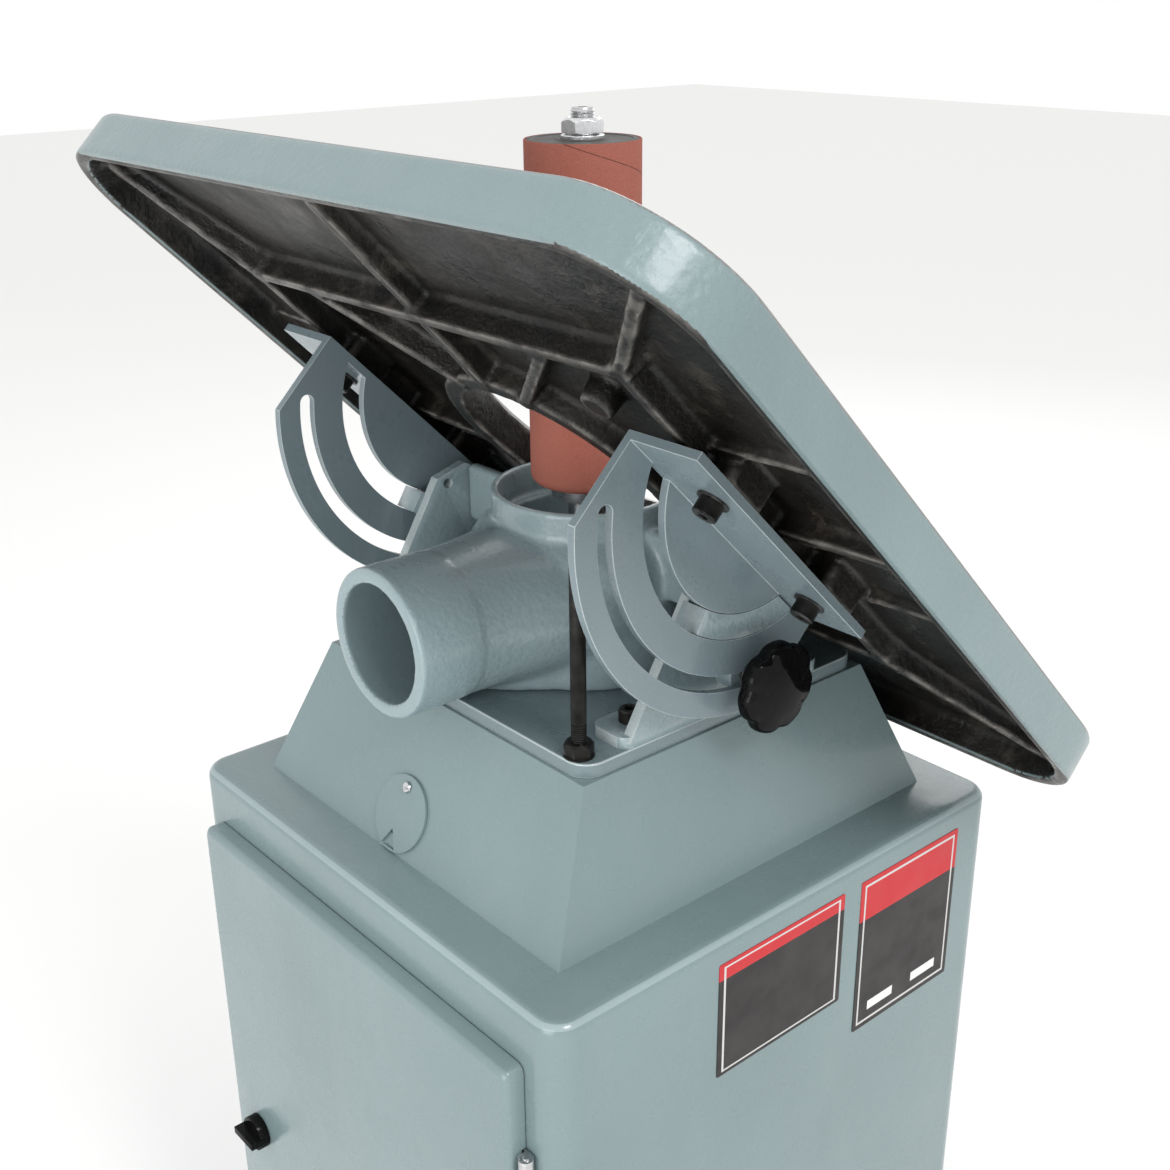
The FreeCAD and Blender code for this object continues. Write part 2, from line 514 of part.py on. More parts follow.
def make_chute():
    """Dust chute casting: round bell with the drum's throat ring and two lugs, flowing into the port."""
    deck = val("cabinet_top") + val("hood_height")
    floor = deck + val("plate_thick")
    top = deck + val("bell_height")
    axis_z = deck + val("port_height")
    bell = seam_turned(Part.makeCylinder(val("bell_radius"), top - floor, V(0, 0, floor)))
    rim = [e for e in bell.Edges if all(abs(p.Point.z - top) < 1e-6 for p in e.Vertexes)]
    bell = bell.makeFillet(val("bell_round"), rim)
    ring = seam_turned(Part.makeCylinder(val("ring_radius"), deck + val("ring_height") - top + 25,
                                         V(0, 0, top - 25)))
    collar = Part.makeCylinder(val("port_radius"), val("port_face") - val("collar_back") + 1,
                               V(0, val("collar_back") - 1, axis_z), V(0, 1, 0))
    wide_form = Part.Ellipse(V(0, 0, 0), val("bell_radius") - 1, (top - floor) / 2)
    stand = FreeCAD.Placement(V(0, 0, 0), FreeCAD.Rotation(V(1, 0, 0), 90))
    step = val("collar_step")
    narrow = Part.Ellipse(V(0, 0, 0), val("port_radius") + 1.5 * step, val("port_radius") + step)
    narrow = Part.Wire(narrow.toShape())
    wide = Part.Wire(wide_form.toShape())
    narrow.Placement = FreeCAD.Placement(V(0, val("collar_back"), axis_z), stand.Rotation)
    wide.Placement = FreeCAD.Placement(V(0, 10, (top + floor) / 2), stand.Rotation)
    throat = Part.makeLoft([wide, narrow], True, True)
    right = [(75, 10), (75, 36), (31, 90)]
    outline = right + [(0, 118)] + [(-x, y) for x, y in reversed(right)] + right[:1]
    skirt = Part.Face(Part.makePolygon([V(x, y, floor) for x, y in outline]))
    skirt = skirt.extrude(V(0, 0, axis_z - floor - 10))
    reach = val("web_in") - val("lug_gap") - val("ring_bore") - 2
    lugs = [Part.makeBox(reach, 2 * val("lug_half"), val("lug_top") - val("lug_low"),
                         V(x, -val("lug_half"), deck + val("lug_low")))
            for x in (val("ring_bore") + 2, -val("ring_bore") - 2 - reach)]
    solid = bell.multiFuse([ring, collar, throat, skirt] + lugs)
    chamber = seam_turned(Part.makeCylinder(val("chamber_radius"), val("ring_height") + 20,
                                            V(0, 0, floor - 1)))
    bore = Part.makeCylinder(val("port_bore"), val("port_face") + 1, V(0, 0, axis_z), V(0, 1, 0))
    mouth = seam_turned(Part.makeCylinder(val("ring_bore"), 60, V(0, 0, top - 6)))
    solid = solid.cut(chamber).cut(bore).cut(mouth).cut(front_relief()).removeSplitter()
    thing = doc.addObject("Part::Feature", "chute_casting")
    thing.Shape = solid
    node("chute_housing", thing)


def seam_turned(shape):
    """The same round shape with its seam away from the lugs and from the plane of symmetry."""
    shape.rotate(V(0, 0, 0), V(0, 0, 1), 37)
    return shape


def front_relief():
    """Room in front of the throat for the tilted table: above its ribs, outside a ball within its opening."""
    pivot = V(0, 0, val("cabinet_top") + val("hood_height") + val("pivot_height"))
    deep, reach = val("rib_low") + 2, val("table_size")
    room = Part.makeBox(reach, reach, reach, V(-reach / 2, -reach, -deep))
    room.Placement = FreeCAD.Placement(pivot, FreeCAD.Rotation(V(1, 0, 0), val("tilt_rest")))
    return room.cut(Part.makeSphere(val("table_hole") - 1, pivot))


def make_trunnion_base(tag, side):
    """Bracket on the base plate: foot, upright web, arc key for the crescent and a boss for the lock."""
    low = "web_in" if side > 0 else "-web_out"
    web = slab("web_" + tag, "YZ_Plane", [
        ("foot_rear - 4", FLOOR + " + 4"), ("32", DECK + " + 108.5"), ("6", DECK + " + 116"),
        ("-2", DECK + " + 112"), ("-44", DECK + " + 66"), ("-foot_front + 14", FLOOR + " + 4")],
        low, "web_out - web_in")
    foot_low = "foot_in" if side > 0 else "-web_out + 0.6"
    foot = block("foot_" + tag, (foot_low, "-foot_front", FLOOR),
                 ("web_out - 0.6 - foot_in", "foot_rear + foot_front", "foot_high"))
    foot = rounded("foot_round_" + tag, foot, "foot_round", upright)
    at = ("web_out - 1" if side > 0 else "-plate_out", "0", PIVOT)
    sweep = "key_front - key_rear"
    start = -val("key_front")
    big = rod("key_big_" + tag, "crescent_out - key_clear", "plate_out - web_out + 1", at, "X", sweep, start)
    small = rod("key_small_" + tag, "crescent_in + key_clear", "plate_out - web_out + 3",
                ("web_out - 2" if side > 0 else "-plate_out - 1", "0", PIVOT), "X")
    key = cut("key_" + tag, big, [small, key_stop(tag)])
    boss_at = ("web_out - 1" if side > 0 else "-plate_in + 0.3", "0", PIVOT + " - stud_arc")
    boss = rod("boss_" + tag, "lock_boss", "plate_in - web_out + 0.7", boss_at, "X")
    solid = fuse("bracket_" + tag, [web, foot, key, boss])
    start = "%d * (web_out - 2) - 30" % side
    tools = [rod("lock_tap_" + tag, "stud_radius", "60", (start, "0", PIVOT + " - stud_arc"), "X"),
             rod("pin_hole_" + tag, "bracket_hole", "60",
                 (start, "bracket_hole_y", DECK + " + bracket_hole_z"), "X")]
    for y in ("foot_screw_rear", "-foot_screw_front"):
        x = "%d * (foot_in + foot_screw_in)" % side
        tools.append(rod("foot_hole_" + tag, "screw_hole", "40", (x, y, FLOOR + " - 10")))
    node("trunnion_base_" + tag, cut("bracket_cut_" + tag, solid, tools))


def key_stop(tag):
    """Room in front of the arc key for the quadrant's flange, which meets the key at full tilt."""
    room = block("key_room_" + tag, ("-2 * plate_out", "-2 * plate_out", "-flange_low - 1"),
                 ("4 * plate_out", "2 * plate_out", "2 * plate_out"))
    return tilted(group("key_stop_" + tag, [room]))


def make_cap_screws(name, spots, length, head, high, drop=True):
    """Socket-head screws standing on a face: each spot is the face point; heads up when drop is true."""
    parts = []
    for i, (x, y, z) in enumerate(spots):
        start = "%s - %s" % (z, length) if drop else z
        body = rod("%s_shank_%d" % (name, i), "screw_shank", length, (x, y, start))
        cap = rod("%s_head_%d" % (name, i), head, high, (x, y, z if drop else "%s - %s" % (z, high)))
        socket = hexagon("%s_socket_%d" % (name, i), head, "4.2",
                         (x, y, "%s + %s - 4" % (z, high) if drop else "%s - %s - 0.2" % (z, high)))
        parts.append(cut("%s_%d" % (name, i), fuse("%s_solid_%d" % (name, i), [body, cap]), [socket]))
    return node(name, group(name + "_set", parts))


def make_stop():
    """Positive stop for the level table: a long screw with its lock nut on the base plate."""
    shank = rod("stop_shank", "stop_radius", "stop_top - 4", ("stop_x", "stop_y", DECK + " + 2"))
    end = val("cabinet_top") + val("hood_height") + val("stop_top") - 2
    node("stop_bolt", rounded("stop_tip", shank, "sheet_wall", lies_at(end)))
    nut = hexagon("stop_nut_hex", "stop_flat", "stop_nut_high",
                  ("stop_x", "stop_y", FLOOR + " + stop_rim_high"))
    flange = rod("stop_nut_flange", "stop_rim", "stop_rim_high", ("stop_x", "stop_y", FLOOR))
    bore = rod("stop_nut_bore", "stop_radius + 0.02", "20", ("stop_x", "stop_y", FLOOR + " - 1"))
    node("stop_nut", cut("stop_nut_cut", fuse("stop_nut_body", [nut, flange]), [bore]))


# ---------------------------------------------------------------- tilting table

def make_trunnion_plate(tag, side):
    """Steel quadrant: flange, lock slot and crescent, all about the tilt axis."""
    low = "plate_in" if side > 0 else "-plate_out"
    disc = rod("disc_" + tag, "trunnion_radius", "plate_out - plate_in", (low, "0", "0"), "X")
    limit = block("disc_limit_" + tag, ("%d * 160 - 20" % side, "-trunnion_half", "-trunnion_radius - 1"),
                  ("40", "2 * trunnion_half", "trunnion_radius + 1 - flange_top"))
    quadrant = common("quadrant_" + tag, disc, limit)
    thin = ("%d * 160 - 20" % side, "0", "0")
    band = rod("slot_big_" + tag, "slot_out", "40", thin, "X", "2 * slot_half_angle",
               -90 - val("slot_half_angle"))
    slot = cut("slot_" + tag, band, [rod("slot_small_" + tag, "slot_in", "40", thin, "X")])
    ends = [rod("slot_end_%s_%d" % (tag, s), "(slot_out - slot_in) / 2", "40",
                (thin[0], "%d * stud_arc * sin(slot_half_angle)" % s,
                 "-stud_arc * cos(slot_half_angle)"), "X")
            for s in SIDES]
    ring = cut("crescent_ring_" + tag, rod("crescent_big_" + tag, "crescent_out", "40", thin, "X"),
               [rod("crescent_small_" + tag, "crescent_in", "40", thin, "X")])
    below = block("crescent_limit_" + tag, ("%d * 160 - 20" % side, "-trunnion_half", "-trunnion_radius"),
                  ("40", "2 * trunnion_half", "trunnion_radius - flange_low - 0.01"))
    crescent = common("crescent_" + tag, ring, below)
    flange_low = "plate_in" if side > 0 else "-flange_edge"
    flange = block("flange_" + tag, (flange_low, "-flange_front", "-flange_low"),
                   ("flange_edge - plate_in", "flange_front + trunnion_half", "flange_low - flange_top"))
    holes = [rod("flange_hole_%s_%d" % (tag, s), "screw_hole", "20",
                 ("%d * screw_x" % side, "%d * screw_s" % s, "-flange_low - 5")) for s in SIDES]
    solid = cut("plate_cut_" + tag, fuse("plate_fused_" + tag, [quadrant, flange]),
                [slot, crescent] + ends + holes)
    node("trunnion_plate_" + tag, tilted(solid))


def make_table():
    """Cast iron table: deep skirt, round spindle opening with a hub, and a grid of ribs underneath."""
    half = "table_size / 2"
    outer = block("table_outer", ("-" + half, "table_shift - " + half, "-table_below"),
                  ("table_size", "table_size", "table_above + table_below"))
    outer = rounded("table_corners", outer, "table_corner", upright)
    outer = rounded("table_top_edge", outer, "door_round", lies_at(val("table_above")))
    inner = block("table_inner",
                  ("-%s + table_wall" % half, "table_shift - %s + table_wall" % half, "-table_below - 1"),
                  ("table_size - 2 * table_wall", "table_size - 2 * table_wall",
                   "table_below + table_above - table_deck + 1"))
    inner = rounded("table_inner_corners", inner, "table_inner_corner", upright)
    pan = cut("table_pan", outer, [inner])
    deep = "rib_low + table_above - table_deck + 2"
    frame_out = block("frame_out",
                      ("-rib_frame_x - rib_thick / 2", "-rib_frame_s - rib_thick / 2", "-rib_low"),
                      ("2 * rib_frame_x + rib_thick", "2 * rib_frame_s + rib_thick", deep))
    frame_in = block("frame_in",
                     ("-rib_frame_x + rib_thick / 2", "-rib_frame_s + rib_thick / 2", "-rib_low - 1"),
                     ("2 * rib_frame_x - rib_thick", "2 * rib_frame_s - rib_thick", deep + " + 2"))
    ribs = [cut("rib_frame", frame_out, [frame_in]),
            rod("hub", "table_hole + hub_wall", "hub_low - 8", ("0", "0", "-hub_low"))]
    for i, (x0, y0, x1, y1) in enumerate(rib_lines()):
        ribs.append(strip("rib_%d" % i, x0, y0, x1, y1))
    for sx, sy in CORNERS:
        ribs.append(block("pad_%d%d" % (sx, sy),
                          ("%d * screw_x - pad_half" % sx, "%d * screw_s - pad_half" % sy, "-flange_top"),
                          ("2 * pad_half", "2 * pad_half", "flange_top - 8")))
    ribs.append(rod("stop_pad_boss", "stop_pad", "20",
                    ("stop_x", "stop_y", "stop_top - 2 - pivot_height + 0.2")))
    solid = fuse("table_solid", [pan] + ribs)
    tools = [rod("table_bore", "table_hole", "80", ("0", "0", "-60")),
             rod("table_recess", "insert_radius", "insert_depth + 1",
                 ("0", "0", "table_above - insert_depth"))]
    for sx, sy in CORNERS:
        tools.append(rod("table_tap_%d%d" % (sx, sy), "screw_shank", "20",
                         ("%d * screw_x" % sx, "%d * screw_s" % sy, "-flange_top - 1")))
    node("table_casting", tilted(cut("table_cut", solid, tools)))


def rib_lines():
    """Ends of the straight ribs that run from the hub and from the rib frame's corners."""
    reach = val("table_size") / 2 - 4
    shift = val("table_shift")
    fx, fs, hub = val("rib_frame_x"), val("rib_frame_s"), val("table_hole") + 6
    corner = reach - val("table_corner") * 0.27
    lines = [(0, hub, 0, reach + shift), (0, -hub, 0, -fs), (hub, 0, reach, 0), (-hub, 0, -reach, 0)]
    for sx, sy in CORNERS:
        lines.append((sx * fx, sy * fs, sx * corner, sy * corner + shift))
        lines.append((sx * hub * 0.34, sy * hub * 0.94, sx * fx * 0.66, sy * fs))
    return lines


def strip(name, x0, y0, x1, y1):
    """Straight rib from one point to another under the deck."""
    length = math.hypot(x1 - x0, y1 - y0)
    rib = doc.addObject("Part::Box", name)
    rib.Length = length
    rib.setExpression("Width", bound("rib_thick"))
    rib.setExpression("Height", bound("rib_low - 6"))
    turn = FreeCAD.Rotation(V(0, 0, 1), math.degrees(math.atan2(y1 - y0, x1 - x0)))
    shift = turn.multVec(V(0, -val("rib_thick") / 2, 0))
    rib.Placement = FreeCAD.Placement(V(x0, y0, -val("rib_low")) + shift, turn)
    return rib


def make_table_screws():
    seat = "-flange_low - screw_washer_thick"
    spots = [("%d * screw_x" % sx, "%d * screw_s" % sy, seat) for sx, sy in CORNERS]
    tilted(make_cap_screws("trunnion_screws", spots, "screw_length", "table_head", "table_head_high", False))
    washers = []
    for i, (x, y, z) in enumerate(spots):
        disc = rod("washer_disc_%d" % i, "screw_washer", "screw_washer_thick", (x, y, z))
        bore = rod("washer_bore_%d" % i, "bolt_hole", "4", (x, y, z + " - 1"))
        washers.append(cut("washer_%d" % i, disc, [bore]))
    tilted(node("trunnion_washers", group("washer_set", washers)))


def make_locks():
    """A stud through each quadrant's slot, a washer, and a lobed knob that clamps the quadrant."""
    studs, washers = [], []
    for tag, side in (("left", 1), ("right", -1)):
        z = PIVOT + " - stud_arc"
        studs.append(rod("lock_stud_" + tag, "stud_radius", "stud_length",
                         ("%d * (web_out + 12) - stud_length / 2" % side, "0", z), "X"))
        inner = "plate_out + 0.3" if side > 0 else "-plate_out - 0.3 - lock_washer_thick"
        disc = rod("lock_washer_disc_" + tag, "lock_washer", "lock_washer_thick", (inner, "0", z), "X")
        hole = rod("lock_washer_bore_" + tag, "stud_radius + 0.1", "8", (inner + " - 3", "0", z), "X")
        washers.append(cut("lock_washer_" + tag, disc, [hole]))
        start = "plate_out + 2.6 + knob_neck" if side > 0 else "-plate_out - 2.6 - knob_neck - knob_thick"
        hub = rod("knob_hub_" + tag, "knob_radius - 3", "knob_thick", (start, "0", z), "X")
        neck_at = "plate_out + 2.6" if side > 0 else "-plate_out - 2.6 - knob_neck - 1"
        neck = rod("knob_neck_" + tag, "neck_radius", "knob_neck + 1", (neck_at, "0", z), "X")
        lobes = []
        for i in range(KNOB_LOBES):
            angle = i * 360 / KNOB_LOBES
            lobes.append(rod("knob_lobe_%s_%d" % (tag, i), "knob_lobe", "knob_thick",
                             (start, "(knob_radius - knob_lobe + 1) * cos(%s)" % angle,
                              z + " + (knob_radius - knob_lobe + 1) * sin(%s)" % angle), "X"))
        bore_at = "plate_out - 1" if side > 0 else "-plate_out - 2.5 - knob_bore_deep"
        bore = rod("knob_bore_" + tag, "stud_radius + run_clear", "knob_bore_deep + 3.5",
                   (bore_at, "0", z), "X")
        node("lock_knob_" + tag, cut("knob_cut_" + tag, fuse("knob_" + tag, [hub, neck] + lobes), [bore]))
    node("lock_studs", group("lock_stud_set", studs))
    node("lock_washers", group("lock_washer_set", washers))


# ---------------------------------------------------------------- spindle, drum and quill

def make_spindle():
    top = DECK + " + drum_low + drum_length"
    low = DECK + " + drum_low"
    seat_low, seat_high = "quill_low + 3 + bearing_high + 1", "quill_high - 3 - bearing_high - 1"
    shaft = turned("shaft", [
        ("0", "shaft_low"), ("shaft_radius", "shaft_low"), ("shaft_radius", seat_low), ("15", seat_low),
        ("15", seat_high), ("shaft_radius", seat_high), ("shaft_radius", low + " - 14"),
        ("24", low + " - 10"), ("24", low), ("arbor_radius", low), ("arbor_radius", top + " - 2"),
        ("thread_radius", top + " - 2"), ("thread_radius", top + " + nut_high + stud_proud"),
        ("0", top + " + nut_high + stud_proud")])
    keyway = block("keyway", ("8.6", "-4", "shaft_low - 1"), ("6", "8", "quill_low - shaft_low - 4"))
    socket = hexagon("stud_socket", "6", "6", ("0", "0", top + " + nut_high + stud_proud - 5"))
    node("spindle_shaft", cut("shaft_cut", shaft, [keyway, socket]))
    paper = rod("paper_out", "drum_radius", "drum_length", ("0", "0", low))
    base = val("cabinet_top") + val("hood_height") + val("drum_low")
    paper = rounded("paper_round", paper, "drum_round", lies_at(base))
    core_low = rod("core_low", "drum_radius - sleeve_wall", "drum_length - washer_thick", ("0", "0", low))
    core = rounded("core_round", core_low, "drum_round", lies_at(base))
    core_bore = rod("core_bore", "arbor_radius", "drum_length + 10", ("0", "0", low + " - 5"))
    node("drum_core", cut("core_cut", core, [core_bore]))
    above = rod("paper_top_in", "drum_radius - sleeve_wall", "washer_thick + 10",
                ("0", "0", top + " - washer_thick - 5"))
    node("sanding_sleeve", cut("paper_cut", paper, [core, above]))
    disc = rod("top_disc", "drum_radius - sleeve_wall", "washer_thick", ("0", "0", top + " - washer_thick"))
    disc_bore = rod("top_washer_bore", "arbor_radius", "20", ("0", "0", top + " - 10"))
    node("top_washer", cut("top_washer_cut", disc, [disc_bore]))
    nut = hexagon("nut_hex", "nut_flat", "nut_high - 2.5", ("0", "0", top + " + 2.5"))
    plain = rod("nut_plain", "nut_flat / 2 + 2", "2.5", ("0", "0", top))
    bore = rod("nut_bore", "thread_radius", "nut_high + 2", ("0", "0", top + " - 1"))
    node("spindle_nut", cut("nut_cut", fuse("nut_body", [nut, plain]), [bore]))


def ring(name, outer, inner, low, high):
    """Plain ring about the spindle axis."""
    return turned(name, [(inner, low), (outer, low), (outer, high), (inner, high)])


def make_quill():
    node("quill_tube", ring("quill", "quill_radius", "quill_bore", "quill_low", "quill_high"))
    seats = ("quill_low + 3", "quill_high - 3 - bearing_high")
    node("quill_bearings", group("quill_bearing_pair", [
        ring("quill_bearing_%d" % i, "quill_bore", "shaft_radius + run_clear", z, z + " + bearing_high")
        for i, z in enumerate(seats)]))
    collar = rod("yoke_collar", "quill_radius + 9", "18", ("0", "0", "quill_low"))
    x_pin = "worm_pitch + wheel_pitch - stroke_half"
    arm = block("yoke_arm", (x_pin + " - 9", "0", "quill_low"), ("18", "box_half + 5", "22"))
    pin = rod("yoke_pin", "pin_radius", "12.5 - 0.6", (x_pin, "box_half", "wheel_height + rod_length"), "Y")
    bore = rod("yoke_bore", "quill_radius", "60", ("0", "0", "quill_low - 10"))
    node("quill_yoke", cut("yoke_cut", fuse("yoke", [collar, arm, pin]), [bore]))


def make_guide():
    flange = DECK + " - 12"
    body = turned("guide_body", [
        ("quill_radius + run_clear", "guide_low"), ("guide_radius", "guide_low"), ("guide_radius", flange),
        ("guide_flange", flange), ("guide_flange", DECK), ("quill_radius + run_clear", DECK)])
    holes = [rod("guide_hole_%d" % i, "bolt_hole", "40", (x, y, z + " - 5"))
             for i, (x, y, z) in enumerate(GUIDE_SCREWS)]
    node("spindle_guide", cut("guide_cut", body, holes))
    make_cap_screws("guide_screws", GUIDE_SCREWS, "screw_length", "screw_head", "screw_high", drop=False)


# ---------------------------------------------------------------- drive unit

def pulley(name, bore, x_y):
    """Single-groove pulley."""
    mid = "pulley_low + pulley_high / 2"
    return turned(name, [
        (bore, "pulley_low"), ("pulley_radius", "pulley_low"), ("pulley_radius", mid + " - groove_half"),
        ("groove_radius", mid + " - groove_half"), ("groove_radius", mid + " + groove_half"),
        ("pulley_radius", mid + " + groove_half"), ("pulley_radius", "pulley_low + pulley_high"),
        (bore, "pulley_low + pulley_high")], (x_y[0], x_y[1], "0"))


def make_gearbox():
    x_high = "worm_pitch + wheel_pitch + 42"
    shell = block("box_shell", ("-box_half", "-box_half", "box_low"),
                  ("box_half + " + x_high, "2 * box_half - box_wall", "box_high - box_low"))
    room = block("box_room", ("-box_half + box_wall", "-box_half + box_wall", "box_low + box_wall"),
                 ("box_half + %s - 2 * box_wall" % x_high, "2 * box_half",
                  "box_high - box_low - 2 * box_wall"))
    seats = [("box_low", "box_low + 14"), ("box_high - 14", "box_high")]
    collars = [rod("box_collar_%d" % i, "36", "14", ("0", "0", low)) for i, (low, high) in enumerate(seats)]
    walls = cut("box_walls", shell, [room])
    limit = block("box_limit", ("-box_half", "-box_half", "box_low"),
                  ("200", "2 * box_half - box_wall", "200"))
    solid = common("box_solid", fuse("box_fused", [walls] + collars), limit)
    through = rod("box_bore", "31", "200", ("0", "0", "box_low - 10"))
    axle = rod("box_axle", "8 + run_clear", "40",
               ("worm_pitch + wheel_pitch", "-box_half - 5", "wheel_height"), "Y")
    node("gearbox_housing", cut("box_cut", solid, [through, axle]))
    lid = block("box_lid", ("-box_half", "box_half - box_wall", "box_low"),
                ("box_half + " + x_high, "box_wall", "box_high - box_low"))
    lid_axle = rod("lid_axle", "8 + run_clear", "40",
                   ("worm_pitch + wheel_pitch", "box_half - 20", "wheel_height"), "Y")
    node("gearbox_cover", cut("lid_cut", lid, [lid_axle]))
    hanger = block("hanger", ("-34", "-box_half - 14", "box_low"), ("68", "10", DECK + " - 12 - box_low"))
    pad = block("hanger_pad", ("-34", "-box_half - 5", "box_low"), ("68", "5", "box_high - box_low"))
    node("gearbox_bracket", fuse("bracket_gearbox", [hanger, pad]))
    node("drive_bearings", group("drive_bearing_pair", [
        ring("drive_bearing_%d" % i, "31", "tube_radius + run_clear", low, high)
        for i, (low, high) in enumerate(seats)]))


def make_drive():
    tube = ring("drive_tube", "tube_radius", "shaft_radius + run_clear", "tube_low", "tube_high")
    key = block("drive_key", ("9", "-3.9", "box_low"), ("5", "7.8", "box_high - box_low"))
    node("drive_sleeve", fuse("sleeve_and_key", [tube, key]))
    node("spindle_pulley", pulley("spindle_sheave", "tube_radius", ("0", "0")))
    node("motor_pulley", pulley("motor_sheave", "motor_shaft_radius", ("0", "motor_y")))
    low, high = val("wheel_height") - 19, val("wheel_height") + 19
    core = Part.makeCylinder(val("worm_root"), high - low, V(0, 0, low))
    start = val("wheel_height") - 2 * val("worm_lead")
    turns = Part.makeHelix(val("worm_lead"), val("worm_lead") * 4, val("worm_pitch"))
    turns.translate(V(0, 0, start))
    outline = [V(val("worm_root") - 0.6, 0, start - 2.4), V(val("worm_pitch") + 2.5, 0, start - 1.0),
               V(val("worm_pitch") + 2.5, 0, start + 1.0), V(val("worm_root") - 0.6, 0, start + 2.4)]
    thread = Part.Wire(turns).makePipeShell([Part.makePolygon(outline + outline[:1])], True, True)
    worm = core.fuse(thread).cut(Part.makeCylinder(val("tube_radius"), 60, V(0, 0, low - 5)))
    thing = doc.addObject("Part::Feature", "worm_solid")
    thing.Shape = worm
    node("drive_worm", thing)


def make_crank():
    """Worm wheel on its cross shaft, with the crank disc and pin that lift the quill."""
    teeth, radius, half = 24, val("wheel_pitch"), val("wheel_thick") / 2
    hub = Part.makeCylinder(radius - 3.2, 2 * half, V(0, -half, 0), V(0, 1, 0))
    root, tip = radius - 3.6, radius + 2.2
    flank = [V(-root, -half, -2.1), V(-tip, -half, -0.9), V(-tip, -half, 0.9), V(-root, -half, 2.1)]
    tooth = Part.Face(Part.makePolygon(flank + flank[:1])).extrude(V(0, 2 * half, 0))
    parts = []
    for i in range(teeth):
        turned_tooth = tooth.copy()
        turned_tooth.rotate(V(0, 0, 0), V(0, 1, 0), (i + 0.5) * 360.0 / teeth)
        parts.append(turned_tooth)
    wheel = hub.multiFuse(parts).cut(Part.makeCylinder(8, 60, V(0, -30, 0), V(0, 1, 0))).removeSplitter()
    wheel.translate(V(val("worm_pitch") + radius, 0, val("wheel_height")))
    thing = doc.addObject("Part::Feature", "wheel_solid")
    thing.Shape = wheel
    node("worm_wheel", thing)
    at = ("worm_pitch + wheel_pitch", "wheel_height")
    axle = rod("crank_axle", "8", "2 * box_half + 10", (at[0], "-box_half - 2", at[1]), "Y")
    disc = rod("crank_disc_solid", "crank_disc", "8", (at[0], "box_half + 2", at[1]), "Y")
    pin = rod("crank_pin", "pin_radius", "14", (at[0] + " - stroke_half", "box_half + 9", at[1]), "Y")
    node("crank_shaft", fuse("crank", [axle, disc, pin]))
    x, y = at[0] + " - stroke_half", "box_half + 12.5"
    eyes = [rod("rod_eye_%d" % i, "rod_eye", "rod_thick", (x, y, z), "Y")
            for i, z in enumerate((at[1], at[1] + " + rod_length"))]
    web = block("rod_web", (x + " - 6", y, at[1]), ("12", "rod_thick", "rod_length"))
    bores = [rod("rod_bore_%d" % i, "pin_radius + run_clear", "40", (x, "box_half", z), "Y")
             for i, z in enumerate((at[1], at[1] + " + rod_length"))]
    node("connecting_rod", cut("rod_cut", fuse("rod_body", eyes + [web]), bores))


def make_belt():
    def loop(name, radius):
        low = "pulley_low + pulley_high / 2 - belt_half"
        ends = [rod("%s_%d" % (name, i), radius, "2 * belt_half", ("0", y, low))
                for i, y in enumerate(("0", "motor_y"))]
        run = block(name + "_run", ("-(%s)" % radius, "motor_y", low),
                    ("2 * (%s)" % radius, "-motor_y", "2 * belt_half"))
        return fuse(name, ends + [run])
    node("drive_belt", cut("belt_cut", loop("belt_outer", "belt_out"), [loop("belt_inner", "belt_in")]))


def make_motor():
    at = ("0", "motor_y", "0")
    low, high = "motor_low + bell_high", "motor_high - bell_high"
    outer, seat = "motor_radius", "motor_radius - 5"
    node("motor_frame", turned("motor_tube", [(seat, low), (outer, low), (outer, high), (seat, high)], at))
    bore, shoulder = "motor_shaft_radius + run_clear", "motor_radius - 8"
    node("motor_low_bell", turned("low_bell", [
        (bore, "motor_low"), (shoulder, "motor_low"), (outer, "motor_low + 8"), (outer, low),
        (bore, low)], at))
    node("motor_top_bell", turned("top_bell", [
        (bore, high), (outer, high), (outer, "motor_high - 8"), (shoulder, "motor_high"),
        (bore, "motor_high")], at))
    core_low, core_high = low + " + 25", high + " - 25"
    node("motor_stator", turned("stator", [
        ("stator_bore", core_low), (seat, core_low), (seat, core_high), ("stator_bore", core_high)], at))
    shaft, top = "motor_shaft_radius", "pulley_low + pulley_high + 3"
    rotor_low, rotor_high = low + " + 20", high + " - 20"
    node("motor_rotor", turned("rotor", [
        ("0", "motor_low - 6"), (shaft, "motor_low - 6"), (shaft, rotor_low), ("rotor_radius", rotor_low),
        ("rotor_radius", rotor_high), (shaft, rotor_high), (shaft, top), ("0", top)], at))
    plate = block("motor_plate_block", ("-62", "-cabinet_depth / 2 + sheet_wall", "motor_low + 25"),
                  ("124", "motor_y - motor_radius + cabinet_depth / 2 - sheet_wall", "190"))
    holes, bolts = [], []
    for i, (x, z) in enumerate(MOTOR_BOLTS):
        holes.append(rod("motor_hole_%d" % i, "bolt_hole", "40", (x, "-cabinet_depth / 2 - 5", z), "Y"))
        head = rod("motor_head_%d" % i, "bolt_head", "bolt_head_high",
                   (x, "-cabinet_depth / 2 - bolt_head_high", z), "Y")
        shank = rod("motor_shank_%d" % i, "bolt_shank", "16", (x, "-cabinet_depth / 2 - 1", z), "Y")
        bolts.append(fuse("motor_bolt_%d" % i, [head, shank]))
    node("motor_plate", cut("motor_plate_cut", plate, holes))
    node("motor_bolts", group("motor_bolt_set", bolts))


# ---------------------------------------------------------------- the whole machine

